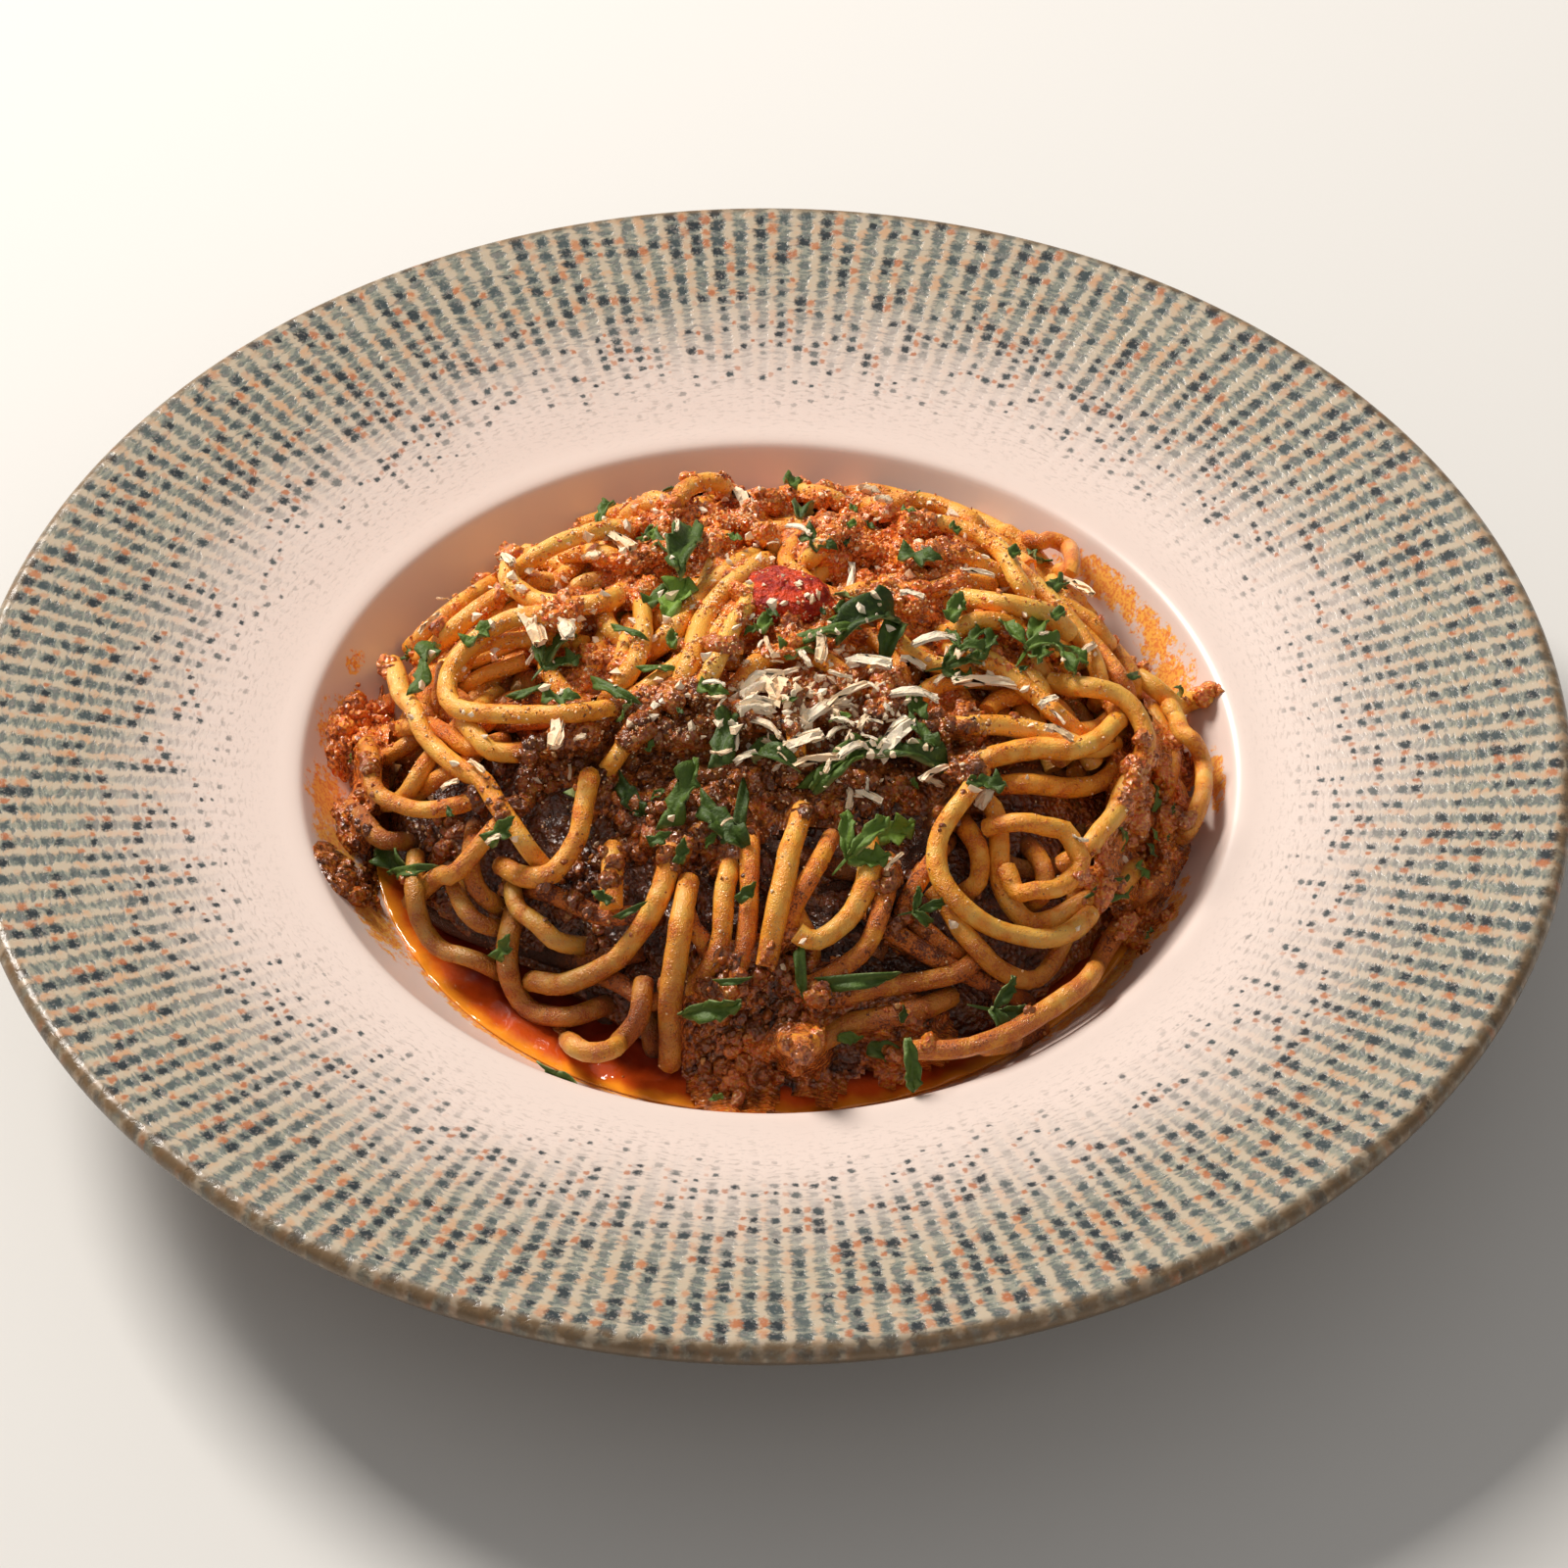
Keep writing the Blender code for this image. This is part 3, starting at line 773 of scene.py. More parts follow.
def keep_number(piece, name, numbers):
    """Stores one number for each point of the mesh."""
    attribute = piece.data.attributes.new(name, "FLOAT", "POINT")
    attribute.data.foreach_set("value", np.asarray(numbers, np.float32))


def mesh_points(piece):
    """The points of a mesh in mm."""
    return np.array([point.co for point in piece.data.vertices]) / MM


core_material = ragu_finish("sauce between the strands", 0.8)
core_points = mesh_points(core)
# painted shade on the core: some all over, more on the heap's front and in the hollows between lumps
core_hollow_shade = np.array([0.4 - 0.5 * lumpy(place, 1.0) for place in core_points])
keep_number(core, "dark", np.clip(0.35 + 0.38 * front_shade_share(core_points) + 0.35 * core_hollow_shade, 0.0, 0.95))
core.data.materials.append(core_material)
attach(core, "root")
print("core triangles:", triangles(core))

# %% [markdown]
# ## The strands that lead the eye
# Cooked spaghetti keeps its length and bends in wide, even curves, so a tangle is a set of loops, arches
# and sweeps and not a random scribble. The strands on top are listed one by one: each has a level, from 0
# for what lies low to 4 for what was let down last, a thickness, a share of sauce from pale to soaked, and
# a few places that it passes. Its ends dip under the others unless they are said to show.

# %% Listed strands
# level, thickness in mm, sauce, places in mm, and the end that shows, if one does
LEFT_STRANDS = [
    (4, 3.5, 0.22,
        [(-34, 9), (-37, 13), (-45, 17), (-52, 15), (-56, 10), (-56, 3), (-53, -2), (-47, -6), (-40, -9),
            (-33, -11), (-27, -12)]),
    (3, 3.1, 0.35, [(-55, 7), (-52, 13), (-45, 11), (-40, 9), (-36, 8), (-31, 5)]),
    (3, 3.6, 0.12,
        [(-53, -5), (-50, -10), (-48, -13), (-43, -15.5), (-37, -16), (-30, -14), (-24, -10), (-18, -5),
            (-10, 5), (-3, 20)]),
    (2, 3.4, 0.18, [(-28, -25), (-25, -21), (-21, -15), (-17, -9), (-13, -3), (-9, 3)]),
    (3, 4.0, 0.06, [(-18, -13), (-16, -8), (-13, 0), (-11, 8), (-8, 15), (-4, 22), (-1, 25)]),
    (4, 3.5, 0.12, [(-12, -10), (-10, -5), (-8, 2), (-6, 8), (-4, 13), (-3.5, 17)], "end"),
    (3, 4.1, 0.03, [(-21, 1), (-17, 5), (-13, 12), (-9, 18), (-5, 23), (-2, 25)]),
    (3, 3.5, 0.3,
        [(-68, 26), (-67, 22), (-65, 12), (-62, 5), (-60, -2), (-57, -8), (-53, -14), (-49, -18),
            (-46, -24), (-43, -29), (-40, -34), (-37, -38)]),
    (3, 3.2, 0.3, [(-71, 6), (-70, 1), (-69, -6), (-65, -12), (-60, -17), (-54, -20), (-49, -21)]),
    (1, 3.3, 0.45, [(-68, -10), (-63, -13), (-58, -9), (-52, -5), (-47, -2)]),
    (1, 3.2, 0.4, [(-62, -15), (-58, -13), (-53, -13), (-49, -11)]),
    (2, 3.3, 0.2, [(-30, 17), (-29, 13), (-27, 8), (-25, 5), (-23, 0)]),
    (2, 3.4, 0.25, [(-27, 8), (-29, 4), (-30, -2), (-31, -7)]),
    (2, 3.4, 0.3, [(-24, 9), (-25, 4), (-26, -3), (-28, -8)]),
    (3, 3.6, 0.2, [(-22, 17), (-22, 13), (-22, 5), (-23, -1), (-25, -6), (-28, -11)]),
    (2, 3.2, 0.55, [(-64, 2), (-59, -1), (-55, -6), (-51, -11), (-45, -12)]),
    (1, 3.4, 0.5, [(-74, -4), (-70, -12), (-67, -17), (-62, -21)]),
    (1, 3.4, 0.6, [(-58, 16), (-59, 8), (-60, 2), (-56, -4)]),
]
BACK_STRANDS = [
    (3, 3.7, 0.28, [(-46, 38), (-46, 30), (-44, 25), (-41, 20), (-35, 15.5), (-29, 14.5), (-25, 17)]),
    (3, 3.5, 0.42, [(-47, 32), (-44, 36), (-38, 39), (-31, 39), (-26, 36)]),
    (2, 3.6, 0.22, [(-62, 20), (-57, 23), (-50, 26), (-45, 27), (-39, 24)]),
    (2, 3.4, 0.45, [(-64, 24), (-59, 27), (-53, 30), (-48, 31)]),
    (1, 3.4, 0.5, [(-52, 22), (-48, 19), (-42, 22), (-36, 27), (-31, 33)]),
    (2, 3.4, 0.32, [(-36, 32), (-31, 30), (-27, 27), (-24, 22)]),
    (2, 3.3, 0.4, [(-30, 26), (-28, 33), (-24, 39), (-18, 42)]),
    (3, 3.6, 0.35, [(-16, 40), (-16.5, 46), (-15.5, 52), (-12, 56), (-9, 53), (-8, 46)]),
    (2, 3.5, 0.4, [(-26, 41), (-22, 46), (-19, 44), (-18, 37), (-20, 30)]),
    (1, 3.4, 0.45, [(-34, 44), (-28, 45), (-22, 41), (-18, 33)]),
    (2, 3.4, 0.28, [(-10, 38), (-9.5, 32), (-9.5, 24), (-11, 18), (-12, 12)]),
    (2, 3.3, 0.3, [(-1, 38), (-4, 36), (-1, 32), (1, 29), (3, 24)]),
    (3, 3.6, 0.24, [(5, 21), (7.5, 25), (9, 29), (12, 34), (16, 39)]),
    (3, 3.5, 0.5, [(16, 44), (20, 46.7), (27.5, 54), (34, 52.4), (37, 48), (37, 42)]),
    (3, 3.4, 0.42,
        [(22, 36), (25, 39.7), (31.6, 44.2), (37.2, 43.9), (41.3, 39.7), (43.6, 30), (45.2, 26.3),
            (44, 20)]),
    (2, 3.4, 0.36, [(24, 27), (28.6, 29.5), (33.4, 31.5), (37.6, 30.2), (41.8, 28), (46, 23)]),
    (2, 3.5, 0.4, [(42, 32), (45.7, 29.2), (49.9, 27.5), (53.9, 26.4), (57.5, 26.2), (60, 22)]),
    (2, 3.2, 0.6, [(47, 57), (50.4, 59.5), (53.9, 57.7), (55.5, 55), (54.5, 48), (52, 42)]),
    (2, 3.4, 0.44,
        [(18, 46), (22, 45), (30, 43), (38, 38), (46, 32), (52, 25), (57, 17), (59, 10), (58, 4)]),
    (1, 3.4, 0.5, [(12, 48), (18, 52), (26, 50), (34, 46), (42, 44), (50, 40)]),
    (1, 3.4, 0.45, [(36, 54), (43, 51), (48, 44), (52, 36), (57, 30)]),
    (2, 3.5, 0.4, [(2, 48), (6, 50), (11, 49), (14, 45), (15, 40)]),
    (1, 3.4, 0.55, [(50, 14), (55, 20), (60, 22), (64, 18), (66, 12)]),
    (2, 3.5, 0.62, [(47, 30), (52, 26), (58, 20), (62, 14), (63, 8)]),
]
CENTRE_STRANDS = [
    (2, 4.2, 0.55, [(10, 8), (12, 11), (15, 15), (19, 17), (23, 16), (24, 13), (23, 9)]),
    (3, 3.5, 0.38, [(-8, -11), (-5, -7), (-3, -3), (1, 0), (6, 0), (10, -2), (13, -5), (15, -10)]),
    (1, 3.4, 0.3, [(2, -3), (3, -7), (4, -14), (5, -22), (4, -28)]),
    (1, 3.4, 0.35, [(18, -2), (20, -8), (19, -14), (15, -20)]),
    (3, 3.4, 0.2, [(29, 6), (33, 9), (36, 12.5), (40, 14), (43, 14), (47, 13)]),
    (3, 3.8, 0.16, [(33, 18), (37, 19), (42, 20.5), (47, 22), (50, 23), (54, 21)]),
    (2, 3.5, 0.35, [(31, 24), (34, 27), (38, 29), (43, 28)]),
    (3, 3.6, 0.22, [(30, 6), (35, 5), (40, 3), (45, 0), (50, -3), (54, -5), (57, -9)]),
    (1, 3.5, 0.3, [(30, 26), (31, 20), (33, 15), (35, 10)]),
    (1, 3.5, 0.3, [(36, 17), (42, 12), (46, 6), (48, 0)]),
]
RIGHT_STRANDS = [
    (4, 3.5, 0.28,
        [(36, -20), (34, -25), (31, -30), (29, -34), (28.5, -38), (29.5, -41), (33, -43.5), (38, -44.5),
            (44, -43.5), (48, -42), (52, -39), (55, -35)]),
    (3, 3.6, 0.28,
        [(34, -22), (36, -25), (38.5, -27), (39.5, -32), (40, -37), (41.5, -40), (45, -41.5), (49, -39.5),
            (54, -35), (58, -31), (61, -28), (64, -23)]),
    (4, 3.4, 0.3,
        [(37, -31), (40, -29), (44, -27), (48, -26), (51, -25), (53, -27), (54, -29), (52, -32), (49, -35),
            (45, -37), (42, -38.5), (40, -36)]),
    (2, 3.4, 0.35,
        [(27, -42), (30, -44), (33, -47), (38, -49.5), (44, -49), (48, -46), (52, -39), (53, -36),
            (55, -30)]),
    (1, 3.4, 0.8, [(16, -46), (20, -48), (26, -50), (33, -51), (38, -51), (44, -51)]),
    (1, 3.2, 0.7, [(21, -46), (24, -47.5), (31, -50), (36, -48)]),
    (2, 3.5, 0.62,
        [(61.5, -32.5), (58.5, -38), (55, -44), (51, -48), (47, -51.5), (41, -56), (33, -60), (25, -62),
            (18, -63)], "start"),
    (1, 3.4, 0.65, [(26, -62), (30, -61), (36, -59), (42, -56.5), (47, -53)]),
    (3, 3.6, 0.16, [(27, -16), (31, -14), (36, -12), (42, -10), (49, -8.5), (56, -7), (60, -4)]),
    (3, 3.8, 0.36,
        [(32, -24), (36, -20), (40, -17), (46, -13), (52, -10), (56, -6), (58, -3), (60, 1), (61, 4),
            (59, 8)]),
    (2, 3.5, 0.45, [(38, -23), (42, -21), (47, -19), (52, -17), (57, -13), (60, -8), (61, -3)]),
    (4, 3.7, 0.22,
        [(49, 3), (54, 5.5), (58, 8), (62, 9.5), (65, 8), (66.5, 4), (66, 0), (64.5, -5), (62, -11),
            (60, -17), (57, -22), (54, -27), (50, -31)]),
    (2, 3.4, 0.36, [(50, -8), (55, -5), (58, -2), (60, 1.5), (62, 4), (62, 8)]),
    (2, 3.4, 0.62, [(64, -2), (64, -8), (63, -14), (61, -19), (59, -23), (57, -28), (54, -33)]),
    (1, 3.4, 0.7, [(69, -6), (70, -12), (70, -17), (68, -22), (66, -25), (62, -30)]),
    (2, 3.3, 0.4, [(71, 18), (73.5, 15), (76, 10), (77, 4), (76.5, -2), (75, -6), (72, -11)]),
    (1, 3.6, 0.3, [(62, 17), (66, 19), (70, 19.5), (74, 19), (78, 17.5)], "end"),
    (1, 3.4, 0.42, [(66, 15), (70, 9), (71, 3), (70, -4), (68, -10)]),
    (1, 3.4, 0.55, [(56, -25), (60, -22), (64, -16), (66, -9)]),
    (2, 3.6, 0.5, [(33, -31), (36, -34), (36, -39), (33, -42)]),
    (1, 3.5, 0.45, [(44, -31), (47, -33), (47, -37), (44, -40)]),
]
FRONT_STRANDS = [
    (3, 3.9, 0.16, [(6, -33), (5, -37), (4, -40), (3.5, -44), (2, -50), (0.5, -55.5)], "end"),
    (2, 3.4, 0.62, [(11, -37), (9, -41), (6, -46), (5, -48), (4, -52)]),
    (3, 3.9, 0.2, [(17, -37), (17.3, -41), (16.5, -44), (14, -48), (10, -51), (7, -52), (4.5, -51)], "end"),
    (2, 3.5, 0.72, [(20, -40), (20, -44), (19, -48), (17, -52), (13, -55), (8, -57.5), (3, -58)]),
    (1, 3.5, 0.5, [(3, -47), (5, -50), (7, -53), (6, -56)]),
    (2, 3.5, 0.66, [(36, -49), (32, -52), (27, -54), (22, -55.5), (16, -57), (10, -58.5), (5, -59)]),
    (3, 3.9, 0.42, [(1, -62.5), (5, -64), (10, -63), (14, -61), (20, -59.5), (26, -57.5), (31, -55)],
        "start"),
    (3, 4.0, 0.3, [(-13, -44), (-14, -49), (-15, -54), (-16, -59), (-16, -65)]),
    (3, 3.8, 0.3, [(-16, -39), (-17, -43), (-19, -47), (-22, -50), (-26, -52.5), (-34, -53), (-40, -51)]),
    (2, 3.5, 0.45, [(-6, -42), (-7, -46), (-7.5, -52), (-10, -56), (-13, -57.5), (-17, -57)]),
    (1, 3.5, 0.68, [(-3, -36), (-3, -40), (-3, -48), (-4, -54), (-7, -58), (-10, -59), (-14, -59)]),
    (1, 3.4, 0.62, [(-28, -53), (-24, -55), (-20, -57.5), (-16, -57.5), (-11, -56)]),
    (1, 3.3, 0.8, [(-14, -46), (-12, -50), (-10, -52), (-8, -56)]),
    (1, 3.6, 0.45, [(-8, -52), (-6, -57), (-8, -61)]),
    (2, 3.3, 0.4, [(-62, -30), (-57, -29.5), (-53, -31), (-46, -27), (-41, -25)]),
    (2, 3.4, 0.3, [(-60, -25), (-60, -30), (-59, -35), (-56, -40), (-52, -43), (-49, -45), (-45, -48)]),
    (1, 3.3, 0.45, [(-54, -30), (-53, -34), (-51, -38), (-48, -41), (-44, -43)]),
    (3, 3.7, 0.36, [(-30, -24), (-31, -29), (-32, -34), (-36, -38), (-41, -37), (-45, -34)]),
    (2, 3.4, 0.24, [(-43, -37), (-42, -41), (-38, -45), (-35, -48), (-30, -50)]),
    (1, 3.4, 0.75, [(-42, -38), (-38, -40), (-33, -43), (-28, -46), (-23, -47), (-18, -48)]),
    (3, 3.8, 0.16, [(-26, -37), (-26, -40), (-26, -45.5)], "end"),
    (2, 3.8, 0.22, [(-43, -41), (-44, -46), (-43, -50), (-40, -54), (-36, -56), (-32, -57), (-27, -57)]),
    (2, 3.5, 0.42, [(-38, -56), (-35, -58), (-31, -61), (-26, -62), (-21, -60), (-20, -56)]),
    (1, 3.4, 0.6, [(-50, -25), (-51, -31), (-49, -36), (-45, -40)]),
    (1, 3.4, 0.7, [(30, -34), (27, -40), (24, -45), (22, -50)]),
]
strand_plans = LEFT_STRANDS + BACK_STRANDS + CENTRE_STRANDS + RIGHT_STRANDS + FRONT_STRANDS
print("hand-laid strands:", len(strand_plans))

# %% [markdown]
# ## Beads on a thread
# To let strands rest on each other without cutting through, each one becomes a row of small beads. The plan
# is first drawn as a smooth line through its places, then slid down the line of sight onto the heap. Where
# an end is tucked in, its last millimetres are laid deeper, so the strand seems to go on inside the tangle.

# %% From plans to beads
PLAN_SPACING = 0.8
BEAD_SPACING = 2.0
LEVEL_STEP = 2.6
TUCK_LENGTH = 8.0
TUCK_DEPTH = 5.5


def smooth_line(places, spacing):
    """Evenly spaced points on a smooth line through the places."""
    places = np.asarray(places, float)
    padded = np.vstack((2 * places[0] - places[1], places, 2 * places[-1] - places[-2]))
    share = np.linspace(0, 1, 16, endpoint=False)[:, None]
    pieces = []
    for a, b, c, d in zip(padded, padded[1:], padded[2:], padded[3:]):
        bend = (2 * a - 5 * b + 4 * c - d) * share ** 2 + (3 * b - a - 3 * c + d) * share ** 3
        pieces.append(0.5 * (2 * b + (c - a) * share + bend))
    return spaced(np.vstack(pieces + [places[-1:]]), spacing)


def spaced(line, spacing):
    """The same line with points at an even spacing."""
    steps = np.linalg.norm(np.diff(line, axis=0), axis=1)
    walked = np.concatenate(([0.0], np.cumsum(steps)))
    count = max(int(round(walked[-1] / spacing)), 4) + 1
    at = np.linspace(0.0, walked[-1], count)
    return np.column_stack([np.interp(at, walked, line[:, axis]) for axis in range(line.shape[1])])


def laid_strand(level, thickness, places, shows=""):
    """A listed strand as beads, on the heap and still apart from the others by its level."""
    plan = smooth_line(places, PLAN_SPACING)
    walked = np.arange(len(plan)) * PLAN_SPACING
    depth = np.zeros(len(plan))
    if shows != "start":
        depth += TUCK_DEPTH * np.clip(1.0 - walked / TUCK_LENGTH, 0.0, 1.0) ** 1.5
    if shows != "end":
        depth += TUCK_DEPTH * np.clip(1.0 - (walked[-1] - walked) / TUCK_LENGTH, 0.0, 1.0) ** 1.5
    lift = thickness / 2 + level * LEVEL_STEP - depth * (1.0 + 0.25 * level)
    return spaced(slide(plan, lift), BEAD_SPACING)


laid = [laid_strand(level, width, places, *shows) for level, width, _, places, *shows in strand_plans]
print("hand-laid length in m:", round(sum(len(line) - 1 for line in laid) * BEAD_SPACING * MM, 2))

# %% [markdown]
# ## The strands underneath
# Under the listed strands, and all over the back of the heap, lie many more. They were twirled with the
# fork, so they mostly run round the heap in arcs. Each one wanders over the dome at its own depth: it steps
# forward, turns a little by a bend that changes slowly, and is put back on its layer after every step. The
# two upper layers keep clear of the front, where the listed strands hang over the core, whose colour
# carries painted shade.

# %% Wandering strands
# depth in the heap in mm, number of strands, steps
LAYERS = [(1.6, 62, 40), (4.4, 52, 44), (6.6, 26, 40)]
OPEN_FRONT = -12.0
dice = np.random.default_rng(20)


def wander(depth, count, steps):
    """Strands of one layer, as an array of strands by beads by x, y and z."""
    angle = dice.uniform(0, 2 * math.pi, count)
    out = np.sqrt(dice.uniform(0.02, 0.98, count)) * 66.0
    spot = np.column_stack((np.cos(angle) * out, np.sin(angle) * out, np.full(count, 40.0)))
    around = np.column_stack((-np.sin(angle), np.cos(angle), np.zeros(count)))
    heading = around + dice.normal(0, 0.55, (count, 3))
    bend = dice.choice((-1.0, 1.0), count) / dice.uniform(9.0, 34.0, count)
    swing = dice.uniform(0, 2 * math.pi, count)
    rows = []
    for step in range(steps):
        for _ in range(3):
            normal = outward(spot)
            spot = spot - normal * (above_heap(spot) + depth)[:, None]
        spot[:, 2] = np.maximum(spot[:, 2], SAUCE_LEVEL - 3.0)
        rows.append(spot.copy())
        heading -= normal * (heading * normal).sum(1, keepdims=True)
        heading /= np.linalg.norm(heading, axis=1, keepdims=True)
        side = np.cross(normal, heading)
        low = np.clip((SAUCE_LEVEL + 4.0 - spot[:, 2]) / 6.0, 0.0, 1.0)[:, None]
        turn_now = bend + 0.03 * np.sin(step * 0.16 + swing)
        heading = heading + side * (turn_now * BEAD_SPACING)[:, None] + np.array([0, 0, 0.3]) * low
        heading /= np.linalg.norm(heading, axis=1, keepdims=True)
        spot = spot + heading * BEAD_SPACING
    return np.stack(rows, axis=1)


def longest_run(line, wanted):
    """The longest piece of a line whose beads are all wanted."""
    edges = np.flatnonzero(np.diff(np.concatenate(([0], wanted.astype(int), [0]))))
    runs = sorted(zip(edges[::2], edges[1::2]), key=lambda run: run[0] - run[1])
    return line[slice(*runs[0])] if runs else line[:0]


loose = []
for depth, count, steps in LAYERS:
    for line in wander(depth, count, steps):
        line = line[:int(dice.integers(steps // 2, steps + 1))]
        if depth < 5.0:
            line = longest_run(line, line[:, 1] > OPEN_FRONT)
        if len(line) > 6:
            loose.append(line)
print("wandering length in m:", round(sum(len(line) - 1 for line in loose) * BEAD_SPACING * MM, 2))

# %% [markdown]
# ## Letting the tangle settle
# Now every bead sinks a little and pushes away the beads of other strands that it overlaps, again and
# again. A listed bead may only move along its line of sight, so the picture stays while the strands find
# their depth, and the one with the higher level always ends on top. A strand resists kinks, because each
# bead's shift is averaged with its neighbours'. This small simulation is the kind used for hair and rope,
# reduced to its core.

# %% Settling
SETTLING_ROUNDS = 150
SINK = 0.07
SIDE_FREEDOM = 0.7
CONTACT_REACH = 5.2
PUSH_SHARE = 0.45

lines = laid + loose
start = np.vstack(lines)
strand = np.repeat(np.arange(len(lines)), [len(line) for line in lines])
thickness = [plan[1] for plan in strand_plans] + list(dice.uniform(3.0, 3.7, len(loose)))
level = np.array([plan[0] for plan in strand_plans] + [-1] * len(loose), float)[strand]
radius = np.array(thickness)[strand] / 2
sight = towards_eye(start)
by_hand = strand < len(laid)
first_bead = np.concatenate(([True], strand[1:] != strand[:-1]))
last_bead = np.concatenate((strand[1:] != strand[:-1], [True]))


def touching(points, reach):
    """Pairs of beads nearer than reach, without neighbours on the same strand."""
    cell = np.floor(points / reach).astype(np.int64) + 1000
    key = (cell[:, 0] * 4000 + cell[:, 1]) * 4000 + cell[:, 2]
    order = np.argsort(key)
    ranked = key[order]
    found = []
    for dx in (-1, 0, 1):
        for dy in (-1, 0, 1):
            near = key + (dx * 4000 + dy) * 4000
            low = np.searchsorted(ranked, near - 1)
            high = np.searchsorted(ranked, near + 1, side="right")
            count = high - low
            one = np.repeat(np.arange(len(points)), count)
            place = np.arange(count.sum()) - np.repeat(np.cumsum(count) - count, count) + np.repeat(low,
                count)
            other = order[place]
            keep = one < other
            found.append(np.column_stack((one[keep], other[keep])))
    pairs = np.vstack(found)
    apart = np.linalg.norm(points[pairs[:, 0]] - points[pairs[:, 1]], axis=1) < reach
    neighbours = (strand[pairs[:, 0]] == strand[pairs[:, 1]]) & (np.abs(pairs[:, 0] - pairs[:, 1]) < 5)
    return pairs[apart & ~neighbours]


def gathered(index, amounts, size):
    """Adds up amounts by index."""
    return np.stack([np.bincount(index, amounts[:, axis], size) for axis in range(3)], axis=1)


def smoothed(shift, share):
    """Averages each bead's shift with its neighbours' on the strand."""
    before = np.vstack((shift[:1], shift[:-1]))
    after = np.vstack((shift[1:], shift[-1:]))
    before[first_bead] = shift[first_bead]
    after[last_bead] = shift[last_bead]
    return shift * (1 - share) + (before + after) * (share / 2)


def settle():
    """Returns the beads where they come to rest."""
    shift = np.zeros_like(start)
    sinking = np.where(by_hand, SINK, 0.0)[:, None]
    weight = np.where(by_hand, 0.35, 1.0)
    pairs = None
    for turn in range(SETTLING_ROUNDS):
        points = start + shift
        if turn % 6 == 0:
            pairs = touching(points, CONTACT_REACH)
            one, two = pairs.T
            both = by_hand[one] & by_hand[two]
            way = sight[one] + sight[two]
            way /= np.linalg.norm(way, axis=1, keepdims=True)
            height_at_start = ((start[one] - start[two]) * way).sum(1)
            over = np.where(level[one] == level[two], np.sign(height_at_start),
                np.sign(level[one] - level[two]))
        gap = points[one] - points[two]
        distance = np.linalg.norm(gap, axis=1) + 1e-9
        reach = radius[one] + radius[two]
        along = (gap * way).sum(1)
        beside = np.sqrt(np.maximum(distance ** 2 - along ** 2, 0.0))
        needed = np.sqrt(np.maximum(reach ** 2 - beside ** 2, 0.0))
        lack = np.where(beside < reach, needed - along * over, 0.0)
        stacked = way * (over * np.clip(lack, 0.0, 1.5))[:, None]
        apart = gap / distance[:, None] * np.clip(reach - distance, 0.0, 1.5)[:, None]
        push = np.where(both[:, None], stacked * 0.75 + apart * 0.25, apart)
        share_one = weight[one] / (weight[one] + weight[two])
        move_one = gathered(one, push * share_one[:, None], len(start))
        move_two = gathered(two, push * (1 - share_one)[:, None], len(start))
        shift += (move_one - move_two) * PUSH_SHARE
        shift -= sight * sinking
        shift[~by_hand] *= 0.985
        shift = smoothed(shift, 0.5)
        points = start + shift
        sunk = np.clip(radius * 0.7 - above_heap(points), 0.0, 1.0)
        shift += sight * (np.where(by_hand & (above_heap(start) > radius * 0.5), sunk, 0.0))[:, None] * 0.5
        inside = np.clip(radius - CORE_DEPTH - 0.6 - above_heap(points), 0.0, 2.0)
        shift += outward(points) * np.where(by_hand, 0.0, inside)[:, None]
        low = np.clip(radius + 0.1 - above_wall(points), 0.0, 2.0)
        inwards = np.column_stack((-points[:, :2] / from_axis(points)[:, None], np.ones(len(points)))) * 0.7
        shift += np.where(by_hand[:, None], sight, inwards) * low[:, None]
        along = (shift * sight).sum(1, keepdims=True) * sight
        aside = shift - along
        size = np.linalg.norm(aside, axis=1, keepdims=True)
        tight = along + aside * np.minimum(1.0, SIDE_FREEDOM / np.maximum(size, 1e-9))
        shift = np.where(by_hand[:, None], tight, shift)
    points = start + shift
    pairs = touching(points, CONTACT_REACH)
    one, two = pairs.T
    depth = radius[one] + radius[two] - np.linalg.norm(points[one] - points[two], axis=1)
    print("beads:", len(points), "contacts:", len(pairs), "deeper than 0.5 mm:", int((depth > 0.5).sum()))
    return points


beads = settle()
print("highest bead in mm:", round(float((beads[:, 2] + radius).max()), 1))

# %% [markdown]
# ## Where the meat sauce lies
# The sauce was ladled over the top and ran down in tongues. Its spread is drawn as soft-edged ovals on the
# plan: where one is strong the sauce buries the strands, and at its rim only crumbs are left. The same
# spread later decides where lumps and grains fall, so bed, lumps and grains belong together.

